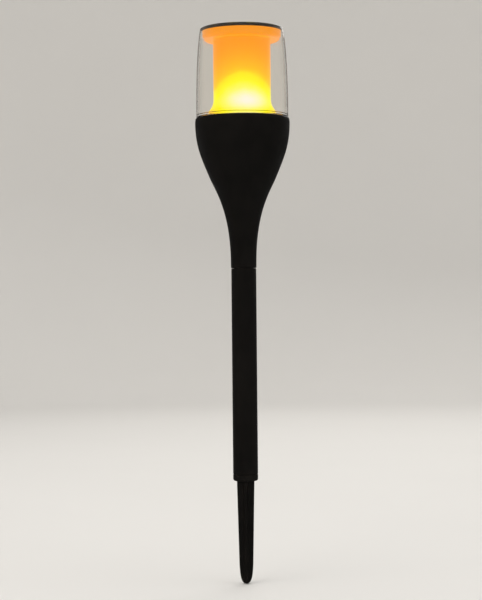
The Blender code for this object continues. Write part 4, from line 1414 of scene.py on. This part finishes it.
@dataclass
class SolarCap:
    """The black disc on top, with the solar panel let into it."""

    ring_outer: float = 29.3
    ring_bore: float = 27.9
    floor: float = 357.6
    recess: float = 26.9
    underside: float = 356.3
    edge: float = 0.7
    wire_hole: float = 2.4
    wire_reach: float = 12.7
    wire_angle: float = 45.0
    cell_radius: float = 24.6
    cell_gap: float = 0.8
    cell_count: int = 4
    cell_thickness: float = 0.12
    ribbon: float = 0.55
    ribbon_thickness: float = 0.05
    ribbon_inset: float = 1.0
    shortest_chord: float = 3.0

    def build(self) -> None:
        """Makes the cap and its panel."""
        self.build_cap()
        self.build_panel()

    def build_cap(self) -> None:
        """The cap, with its locating ring and the hole for the leads."""
        bottom, top = heights("top_cap")
        radius = reach("top_cap")
        outline = [
            (0, self.floor),
            (self.recess - 0.2, self.floor),
            (self.recess, self.floor + 0.2),
            (self.recess, top - 0.25),
            (self.recess + 0.25, top),
            (radius - 2.4, top),
            (radius - 2.2, top - 0.18),
            (radius - 2.0, top - 0.18),
            (radius - 1.8, top),
            *corner((radius - self.edge, top - self.edge), self.edge, 90, 0, 7),
            (radius, self.underside + 0.3),
            (radius - 0.3, self.underside),
            (self.ring_outer, self.underside),
            (self.ring_outer, bottom + 0.3),
            (self.ring_outer - 0.3, bottom),
            (self.ring_bore + 0.2, bottom),
            (self.ring_bore, bottom + 0.2),
            (self.ring_bore, self.underside),
            (0, self.underside),
        ]
        at = polar(self.wire_reach, self.wire_angle)[:2]
        hole = post(self.wire_hole, self.underside - 1, self.floor + 1, at)
        shape = carved(turned(outline, ROUND), cut=[hole])
        hang(shape, "top_cap_moulding", CAP_PLASTIC, Body.HEAD, Slot.BLACK, "top_cap")

    def chord(self, x: float) -> float:
        """Half the length of the cells at that distance across the round panel."""
        return sqrt(max(self.cell_radius**2 - x * x, self.shortest_chord**2))

    def build_panel(self) -> None:
        """The panel: a round board with four cells and their ribbons under resin."""
        bottom, top = heights("solar_panel")
        radius = reach("solar_panel")
        lift = top - self.ribbon_thickness - self.cell_thickness
        outline = [(0, lift), (radius - 0.25, lift), (radius, lift - 0.25), (radius, bottom + 0.1),
                   (radius - 0.1, bottom), (0, bottom)]
        hang(turned(outline, ROUND), "solar_panel_board", PANEL_BOARD, Body.HEAD, Slot.SOLAR,
             "solar_panel")
        pitch = 2 * self.cell_radius / self.cell_count
        cells, ribbons = [], []
        for i in range(self.cell_count):
            left = -self.cell_radius + pitch * i + self.cell_gap / 2
            right = left + pitch - self.cell_gap
            xs = [left + (right - left) * j / 10 for j in range(11)]
            arc = [(x, self.chord(x)) for x in xs]
            below = [(x, -y) for x, y in arc]
            cells.append(plate([*below, *reversed(arc)], lift, lift + self.cell_thickness, 0.03))
            middle = (left + right) / 2
            for offset in (-pitch / 5, pitch / 5):
                x = middle + offset
                half = (self.ribbon / 2, self.chord(x) - self.ribbon_inset)
                ribbons.append(block(half, lift + self.cell_thickness - 0.02, top, 0.01, (x, 0), 1))
        hang(together(*cells), "solar_cells", CELL_SILICON, Body.HEAD, Slot.SOLAR)
        hang(together(*ribbons), "solar_cell_ribbons", SOLDER, Body.HEAD, Slot.SOLAR)


@dataclass
class Screw:
    """A pan-head screw with a cross recess and a turned thread. Its origin is under its head."""

    length: float
    head_radius: float = 1.9
    head_height: float = 1.4
    core: float = 0.82
    crest: float = 1.0
    pitch: float = 0.7
    recess: Pair = (1.15, 0.24)

    def shape(self) -> BMesh:
        """The screw, with its head up."""
        h, r = self.head_height, self.head_radius
        outline = [
            (0, h),
            *bezier((r * 0.45, h), (r * 0.8, h), (r, h * 0.75), (r, h * 0.3), 8),
            (r, 0.12),
            (r - 0.12, 0),
            (self.core, 0),
            (self.core, 1.0 - self.length),
            (0, -self.length),
        ]
        long, thin = self.recess
        bars = [block(half, h * 0.4, h + 1, 0.05) for half in ((long, thin), (thin, long))]
        head = carved(turned(outline, SMALL_ROUND), cut=bars)
        turns = (self.length - 1.6) / self.pitch
        count = max(4, round(turns * 16))
        middle = (self.core + self.crest) / 2 - 0.04
        path = []
        for i in range(count + 1):
            angle = 360 * turns * i / count
            path.append(polar(middle, angle, -0.5 - self.pitch * turns * i / count))
        return together(head, wire(path, self.crest - middle, 6))


@dataclass
class LampBase:
    """The floor of the lamp head, with the battery compartment, its lid and the screws."""

    box_half: Pair = (27.3, 7.7)
    box_corner: float = 1.2
    pocket_half: Pair = (25.7, 6.1)
    pocket_top: float = 282.2
    plate_bottom: float = 282.5
    post_reach: float = 10.4
    post_radius: float = 3.0
    board_screw_reach: float = 17.0
    board_pilot: float = 282.9
    tab_reach: float = 25.05
    tab_slot: Pair = (0.65, 1.9)
    pocket_corner: float = 0.5
    overlap: float = 0.6
    stiffener_angles: tuple[int, ...] = (60, 120, 240, 300)
    stiffener_half: Pair = (0.6, 7.5)
    stiffener_depth: float = 1.6
    stiffener_reach: float = 20.5
    ear_radius: float = 3.5
    ear_half: float = 2.5
    ear_inset: float = 2
    grip_count: int = 12
    grip_pitch: float = 0.77
    grip_middle: float = 17
    grip_half: Pair = (0.28, 4.2)
    grip_depth: float = 0.35

    def build(self) -> None:
        """Makes the base, the lid and the seven screws."""
        self.build_base()
        self.build_lid()
        self.build_screws()

    def build_base(self) -> None:
        """The round plate and the battery box under it."""
        bottom, top = heights("lamp_base")
        radius = reach("lamp_base")
        disc = turned([
            (0, top), (radius - 0.4, top), (radius, top - 0.4), (radius, self.plate_bottom + 0.3),
            (radius - 0.3, self.plate_bottom), (0, self.plate_bottom),
        ], ROUND)
        inside = self.plate_bottom + self.overlap
        join = [self.upright(self.box_half, self.box_corner, bottom, inside)]
        cut = [self.upright(self.pocket_half, self.pocket_corner, bottom - 2, self.pocket_top)]
        for side in (-1, 1):
            join.append(post(self.post_radius, bottom, inside, (0, side * self.post_reach)))
            cut.append(post(SCREW_HOLE, bottom - 1, bottom + 8, (0, side * self.post_reach)))
            board_screw = (0, side * self.board_screw_reach)
            cut.append(post(SCREW_HOLE, self.board_pilot, top + 1, board_screw))
            tab = (side * self.tab_reach, 0)
            cut.append(block(self.tab_slot, self.pocket_top - 1, top + 1, 0, tab))
        for angle in BASE_SCREWS:
            at = polar(BASE_SCREW_REACH, angle)[:2]
            cut.append(post(SCREW_HOLE, self.plate_bottom - 1, top + 1, at))
        for angle in self.stiffener_angles:
            arm = block(self.stiffener_half, self.plate_bottom - self.stiffener_depth, inside, 0.2)
            spin = Matrix.Rotation(radians(angle - 90), 4, "Z")
            join.append(moved(arm, polar(self.stiffener_reach, angle), spin))
        hang(carved(disc, join, cut), "lamp_base_moulding", BASE_PLASTIC, Body.HEAD, Slot.BLACK,
             "lamp_base")

    @staticmethod
    def upright(half: Pair, rounding: float, low: float, high: float) -> BMesh:
        """A box whose upright edges alone are rounded."""
        outline = []
        for sx, sy, first in ((1, 1, 0), (-1, 1, 90), (-1, -1, 180), (1, -1, 270)):
            centre = (sx * (half[0] - rounding), sy * (half[1] - rounding))
            outline += corner(centre, rounding, first, first + 90, 5)
        return plate(outline, low, high)

    def build_lid(self) -> None:
        """The battery lid, with a screw ear on each side and a ribbed grip."""
        bottom, top = heights("battery_lid")
        lid = self.upright(self.box_half, self.box_corner, bottom, top)
        join, cut = [], []
        for side in (-1, 1):
            at = (0, side * self.post_reach)
            join.append(post(self.ear_radius, bottom, top, at))
            neck = (0, side * (self.post_reach - self.ear_inset))
            join.append(block((self.ear_radius, self.ear_half), bottom, top, 0, neck))
            cut.append(post(SCREW_HOLE, bottom - 1, top + 1, at))
        for i in range(self.grip_count):
            x = (i - (self.grip_count - 1) / 2) * self.grip_pitch
            for side in (-1, 1):
                at = (side * self.grip_middle + x, 0)
                cut.append(block(self.grip_half, bottom - 1, bottom + self.grip_depth, 0.1, at, 1))
        hang(carved(lid, join, cut), "battery_lid_moulding", BASE_PLASTIC, Body.HEAD, Slot.BLACK,
             "battery_lid")

    def build_screws(self) -> None:
        """Three screws up through the base, two down through the board, two up through the lid."""
        upside_down = Matrix.Rotation(pi, 4, "X")
        for number, angle in enumerate(BASE_SCREWS, 1):
            self.hang_screw(f"base_screw_{number}", upside_down, angle * 1.7)
        for number in (1, 2):
            self.hang_screw(f"board_screw_{number}", None, 20.0 * number)
            self.hang_screw(f"lid_screw_{number}", upside_down, 33.0 * number)

    def hang_screw(self, node: str, flip: Matrix | None, spin: float) -> None:
        """Makes one screw where the frame has it.

        Args:
            node: The frame's node.
            flip: How it is turned from head up, if it is.
            spin: How far its recess is turned, in degrees.
        """
        low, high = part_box(node)
        middle = (low + high) / 2 / MM
        head = Screw.head_height
        screw = Screw((high.z - low.z) / MM - head)
        shape = moved(screw.shape(), turn=Matrix.Rotation(radians(spin), 4, "Z"))
        seat = low.z / MM + head if flip else high.z / MM - head
        shape = moved(shape, (middle.x, middle.y, seat), flip)
        hang(shape, f"{node}_steel", SCREW_STEEL, Body.HEAD, Slot.SCREW_STEEL, node)


@dataclass
class LightBoard:
    """The LED board with its three LEDs, its driver parts and their soldered joints."""

    hole_reach: float = 17.0
    led_flange: float = 2.9
    led_radius: float = 2.5
    led_flange_height: float = 1.0
    led_joint: float = 0.75
    led_joint_reach: float = 3.7
    joint_height: float = 0.22
    chip_dot: float = 0.3
    chip_dot_inset: float = 0.8
    chip_leg_pitch: float = 1.2
    can_score: float = 0.06
    coil_waist: float = 1.3
    coil_turns: int = 9
    coil_gauge: float = 0.16

    def build(self) -> None:
        """Makes the board and all that stands on it."""
        bottom, top = heights("led_board")
        radius = reach("led_board")
        outline = [(0, top), (radius - 0.12, top), (radius, top - 0.12), (radius, bottom + 0.12),
                   (radius - 0.12, bottom), (0, bottom)]
        holes = [post(SCREW_HOLE, bottom - 1, top + 1, (0, s * self.hole_reach)) for s in (-1, 1)]
        hang(carved(turned(outline, SLIM_ROUND), cut=holes), "led_board_laminate", LED_BOARD,
             Body.HEAD, Slot.BOARD, "led_board")
        joints = []
        for number in (1, 2, 3):
            joints += self.build_led(number, top)
        joints += self.build_chip(top)
        self.build_capacitor()
        self.build_inductor()
        hang(together(*joints), "board_solder_joints", SOLDER, Body.HEAD, Slot.COMPONENT)

    def build_led(self, number: int, board_top: float) -> list[BMesh]:
        """One domed LED. Returns the solder joints of its two legs."""
        node = f"flicker_led_{number}"
        bottom, top = heights(node)
        low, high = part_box(node)
        middle = (low + high) / 2 / MM
        r, flange = self.led_radius, bottom + self.led_flange_height
        outline = [
            *reversed(corner((0, top - r), r, 0, 90, 10)),
            (r, flange + 0.15),
            (r + 0.12, flange),
            (self.led_flange - 0.1, flange),
            (self.led_flange, flange - 0.1),
            (self.led_flange, bottom),
            (0, bottom),
        ]
        shape = moved(turned(outline, SMALL_ROUND), (middle.x, middle.y, 0))
        hang(shape, f"{node}_dome", LED_EPOXY, Body.HEAD, Slot.LED, node)
        return [
            post(self.led_joint, board_top - 0.02, board_top + self.joint_height,
                 (middle.x + side * self.led_joint_reach, middle.y), 0.1)
            for side in (-1, 1)
        ]

    def build_chip(self, board_top: float) -> list[BMesh]:
        """The control chip. Returns its eight gull-wing legs."""
        low, high = extent("control_chip")
        centre, half = middle_and_half("control_chip")
        body = block((half.x, half.y), low.z, high.z, 0.15, (centre.x, centre.y))
        inset = self.chip_dot_inset
        dot = post(self.chip_dot, high.z - 0.08, high.z + 1,
                   (centre.x - half.x + inset, centre.y - half.y + inset))
        hang(carved(body, cut=[dot]), "control_chip_body", CHIP_BLACK, Body.HEAD, Slot.COMPONENT,
             "control_chip")
        legs = []
        for i in range(4):
            x = centre.x + (i - 1.5) * self.chip_leg_pitch
            for side in (-1, 1):
                edge = centre.y + side * half.y
                foot, shin = (x, edge + side * 0.55), (x, edge + side * 0.2)
                legs.append(block((0.2, 0.45), board_top, low.z + 0.12, 0.03, foot, 1))
                legs.append(block((0.2, 0.12), low.z, low.z + 0.75, 0.03, shin, 1))
        return legs

    def build_capacitor(self) -> None:
        """The storage capacitor: a sleeved can with a rolled foot and a scored top."""
        bottom, top = heights("storage_capacitor")
        centre, half = middle_and_half("storage_capacitor")
        r = half.x
        outline = [
            (0, top - 0.25), (r - 0.55, top - 0.25), (r - 0.5, top - 0.05),
            *corner((r - 0.25, top - 0.25), 0.25, 90, 0, 3),
            (r, bottom + 1.5), (r - 0.22, bottom + 1.2), (r - 0.22, bottom + 1.0),
            (r, bottom + 0.7),
            (r, bottom + 0.2), (r - 0.2, bottom), (0, bottom),
        ]
        thin, long = self.can_score, r - 0.7
        scores = [block(h, top - 0.32, top + 1, 0) for h in ((long, thin), (thin, long))]
        shape = moved(carved(turned(outline, SMALL_ROUND), cut=scores), (centre.x, centre.y, 0))
        hang(shape, "storage_capacitor_can", SLEEVE, Body.HEAD, Slot.COMPONENT, "storage_capacitor")

    def build_inductor(self) -> None:
        """The boost inductor: a ferrite bobbin wound with copper."""
        bottom, top = heights("boost_inductor")
        centre, half = middle_and_half("boost_inductor")
        r, waist, turns = half.x, self.coil_waist, self.coil_turns
        outline = [
            (0, top), (r - 0.15, top), (r, top - 0.15), (r, top - 0.8), (waist, top - 1.0),
            (waist, bottom + 1.0), (r, bottom + 0.8), (r, bottom + 0.15), (r - 0.15, bottom),
            (0, bottom),
        ]
        shape = moved(turned(outline, SMALL_ROUND), (centre.x, centre.y, 0))
        hang(shape, "boost_inductor_core", FERRITE, Body.HEAD, Slot.COMPONENT, "boost_inductor")
        count = turns * 18
        path = [
            polar(waist + 0.25, 360 * turns * i / count,
                  bottom + 1.2 + (top - bottom - 2.4) * i / count)
            for i in range(count + 1)
        ]
        coil = moved(wire(path, self.coil_gauge, 8), (centre.x, centre.y, 0))
        hang(coil, "boost_inductor_winding", COPPER, Body.HEAD, Slot.COMPONENT)


@dataclass
class BatteryPack:
    """The AAA cell between its spring and its button plate."""

    centre: float = 276.3
    cell_end: float = 0.5
    button_radius: float = 1.9
    plate_half: Pair = (0.25, 4.5)
    plate_heights: Pair = (270.9, 281.8)
    tab_half: float = 1.5
    spring_turns: float = 3.5
    spring_wire: float = 0.3
    spring_radii: Pair = (4.0, 2.6)

    def build(self) -> None:
        """Makes the cell, the two contacts and the spring."""
        low, high = extent("battery_cell")
        radius = (high.z - low.z) / 2
        front = high.x - 1.0
        end = self.cell_end
        outline = [
            (0, high.x), *corner((self.button_radius - 0.3, high.x - 0.3), 0.3, 90, 0, 3),
            (self.button_radius, front - 0.1), (self.button_radius + 0.1, front - 0.2),
            (radius - 1.1, front - 0.2), (radius - 1.0, front),
            *corner((radius - end, front - end), end, 90, 0, 4),
            *corner((radius - end, low.x + end), end, 0, -90, 4),
            (radius - 1.0, low.x), (radius - 1.1, low.x + 0.15), (0, low.x + 0.15),
        ]
        along_x = Matrix.Rotation(pi / 2, 4, "Y")
        shape = moved(turned(outline, SLIM_ROUND), (0, 0, self.centre), along_x)
        hang(shape, "battery_cell_can", WRAP_FILM, Body.HEAD, Slot.WRAP, "battery_cell")
        for node in ("spring_contact", "button_contact"):
            self.build_contact(node)
        self.build_spring()

    def build_contact(self, node: str) -> None:
        """One plated contact, with its tab up through the base."""
        low, high = extent(node)
        x = (low.x + high.x) / 2
        thin, wide = self.plate_half
        body = block((thin, wide), *self.plate_heights, 0.12, (x, 0))
        tab = block((thin, self.tab_half), self.plate_heights[1] - 1.0, high.z, 0.1, (x, 0))
        hang(carved(body, [tab]), f"{node}_plate", SPRING_STEEL, Body.HEAD, Slot.SPRING_STEEL, node)

    def build_spring(self) -> None:
        """The cell's tapered coil spring."""
        low, high = extent("battery_spring")
        start, end = low.x + self.spring_wire, high.x - self.spring_wire
        count = round(self.spring_turns * 28)
        first, last = self.spring_radii
        path = []
        for i in range(count + 1):
            share = i / count
            y, z, _ = polar(first + (last - first) * share, 360 * self.spring_turns * share)
            path.append((start + (end - start) * share, y, z + self.centre))
        hang(wire(path, self.spring_wire, 12), "battery_spring_coil", SPRING_STEEL, Body.HEAD,
             Slot.SPRING_STEEL, "battery_spring")


@dataclass
class SlideSwitch:
    """The slide switch under the base and its ribbed knob."""

    slot_half: Pair = (2.8, 1.3)
    slot_depth: float = 1.8
    knob_half: Pair = (1.2, 0.95)
    groove_half: Pair = (0.1, 2)
    groove_depth: float = 0.2
    groove_pitch: float = 0.6

    def build(self) -> None:
        """Makes the switch's body and its knob."""
        low, high = extent("switch_body")
        centre, half = middle_and_half("switch_body")
        at = (centre.x, centre.y)
        body = block((half.x, half.y), low.z, high.z, 0.25, at)
        well = block(self.slot_half, low.z - 1, low.z + self.slot_depth, 0, at)
        hang(carved(body, cut=[well]), "switch_body_case", CHIP_BLACK, Body.HEAD, Slot.COMPONENT,
             "switch_body")
        low, high = extent("switch_knob")
        centre, _ = middle_and_half("switch_knob")
        knob = block(self.knob_half, low.z, high.z, 0.2, (centre.x, centre.y))
        grooves = [
            block(self.groove_half, low.z - 1, low.z + self.groove_depth, 0,
                  (centre.x + step * self.groove_pitch, centre.y))
            for step in (-1, 0, 1)
        ]
        hang(carved(knob, cut=grooves), "switch_knob_slider", KNOB_WHITE, Body.SWITCH,
             Slot.COMPONENT, "switch_knob")


@dataclass
class Leads:
    """The panel's two leads down the diffuser's wall, and the battery's two short ones."""

    radius: float = 0.6
    wall_reach: float = 19.7
    hole_reach: float = 12.7
    hole_angle: float = 45.0
    hole_top: float = 357.6
    board_top: float = 286.6
    gap: float = 0.3
    panel: tuple[tuple[str, float, float], ...] = (("red", 42.0, -0.8), ("black", 48.0, 0.8))
    panel_heights: Triple = (353.5, 341.0, 300.0)
    foot_inset: float = 0.6
    battery: tuple[tuple[str, int], ...] = (("black", -1), ("red", 1))
    battery_knots: tuple[Triple, ...] = ((23.8, 0, 285.9), (22.6, 0.6, 288.2), (20.0, 2.4, 289.0))
    battery_foot: Pair = (18.0, 3.4)

    def build(self) -> None:
        """Makes the four leads."""
        hole = polar(self.hole_reach, self.hole_angle)
        foot = self.board_top + self.gap + self.radius
        elbow, upper, lower = self.panel_heights
        for tint, angle, inset in self.panel:
            knots = [
                (hole[0] - inset, hole[1] + inset, self.hole_top),
                (hole[0] - inset, hole[1] + inset, elbow),
                polar(self.wall_reach, angle, upper),
                polar(self.wall_reach, angle, lower),
                polar(self.wall_reach - self.foot_inset, angle, foot),
            ]
            self.hang_lead(f"panel_lead_{tint}", tint, knots)
        for tint, side in self.battery:
            knots = [(side * x, y, z) for x, y, z in (*self.battery_knots,
                                                      (*self.battery_foot, foot))]
            self.hang_lead(f"battery_lead_{tint}", tint, knots)

    def hang_lead(self, node: str, tint: str, knots: Sequence[Triple]) -> None:
        """Makes one lead on a smooth route through its knots."""
        red = tint == "red"
        hang(wire(flowing(knots), self.radius), f"{node}_wire", RED_WIRE if red else BLACK_WIRE,
             Body.HEAD, Slot.RED if red else Slot.BLACK_LEAD, node)


# ---------------------------------------------------------------- studio


@dataclass
class Studio:
    """The pale sweep all round the torch, the soft lights and the camera."""

    floor_radius: float = 2.1
    wall_radius: float = 2.9
    wall_height: float = 2.6
    camera_distance: float = 1.239
    camera_height: float = 0.1434
    camera_shift: float = -0.0024
    camera_roll: float = 0.53
    lens: float = 93.6
    sensor: float = 36.0
    world: Colour = (0.86, 0.85, 0.83)
    world_strength: float = 0.60
    world_gleam: float = 0.12
    front: float = -0.5
    aim: Triple = (0.0, 0.0, 0.15)
    lights: tuple[tuple[str, Triple, float, float, Colour], ...] = field(default_factory=lambda: (
        ("Key softbox", (-1.35, -1.2, 1.35), 2.2, 15.0, (1.0, 0.97, 0.93)),
        ("Fill softbox", (1.7, -0.8, 0.9), 2.0, 7.0, (0.95, 0.97, 1.0)),
        ("Back softbox", (0.5, 1.6, 1.5), 1.8, 12.0, (1.0, 0.98, 0.95)),
        ("Top softbox", (0.0, 0.0, 2.2), 2.0, 14.0, (1.0, 1.0, 1.0)),
    ))

    def build(self) -> None:
        """Makes the sweep, the lights and the camera."""
        self.build_sweep()
        self.build_lights()
        self.build_camera()

    def build_sweep(self) -> None:
        """A round paper floor that curves up into a wall on every side."""
        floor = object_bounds()[0].z - 0.0004
        cove = self.wall_radius - self.floor_radius
        outline = [(0, floor), (self.floor_radius, floor)]
        outline += corner((self.floor_radius, floor + cove), cove, -90, 0, 16)[1:]
        outline.append((self.wall_radius, floor + self.wall_height))
        shape = turned([(r / MM, z / MM) for r, z in outline], SLIM_ROUND)
        bmesh.ops.recalc_face_normals(shape, faces=shape.faces[:])
        if max(shape.faces, key=lambda f: -f.calc_center_median().length).normal.z < 0:
            bmesh.ops.reverse_faces(shape, faces=shape.faces[:])
        mesh = bpy.data.meshes.new("pale_sweep")
        shape.to_mesh(mesh)
        shape.free()
        mesh.shade_smooth()
        mesh.materials.append(PAPER.material())
        sweep = bpy.data.objects.new("pale_sweep", mesh)
        sweep.visible_glossy = False
        bpy.context.scene.collection.objects.link(sweep)
        sweep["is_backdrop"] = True

    def build_lights(self) -> None:
        """The even daylight of the room and the softboxes."""
        world = bpy.data.worlds.new("Room")
        world.use_nodes = True
        sky = world.node_tree.nodes["Background"]
        sky.inputs["Color"].default_value = (*self.world, 1.0)
        w = Wiring(world.node_tree)
        glossy = w.add("LightPath").outputs["Is Glossy Ray"]
        w.set(sky.inputs["Strength"],
              w.spread(glossy, 0.0, 1.0, self.world_strength, self.world_gleam))
        bpy.context.scene.world = world
        for name, place, size, power, colour in self.lights:
            lamp = bpy.data.lights.new(name, "AREA")
            lamp.shape = "DISK"
            lamp.size = size
            lamp.energy = power
            lamp.color = colour
            holder = bpy.data.objects.new(name, lamp)
            holder.location = place
            towards = Vector(self.aim) - Vector(place)
            holder.rotation_euler = towards.to_track_quat("-Z", "Y").to_euler()
            holder.visible_camera = False
            holder.visible_transmission = False
            holder.visible_glossy = place[1] > self.front
            bpy.context.scene.collection.objects.link(holder)

    def build_camera(self) -> None:
        """A level camera in front of the torch, a little below its middle."""
        data = bpy.data.cameras.new("Camera")
        data.lens = self.lens
        data.sensor_width = self.sensor
        data.clip_start = 0.05
        data.clip_end = 50.0
        camera = bpy.data.objects.new("Camera", data)
        camera.location = (self.camera_shift, -self.camera_distance, self.camera_height)
        camera.rotation_euler = (pi / 2, radians(self.camera_roll), 0)
        bpy.context.scene.collection.objects.link(camera)
        bpy.context.scene.camera = camera
        bpy.context.scene.view_settings.view_transform = "Standard"


def write_sizes() -> None:
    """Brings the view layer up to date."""
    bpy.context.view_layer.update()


def main() -> None:
    """Builds every sub-assembly in order, then the studio."""
    logging.basicConfig(level=logging.INFO, format="%(name)s %(message)s")
    assemblies = (
        GroundSpike(), PoleTube(), TorchCup(), RimSeal(), ClearLens(), FlameDiffuser(), SolarCap(),
        LampBase(), LightBoard(), BatteryPack(), SlideSwitch(), Leads(), Studio(),
    )
    for assembly in assemblies:
        assembly.build()
        LOG.info("%s done", type(assembly).__name__)
    write_sizes()


if __name__ == "__main__":
    main()
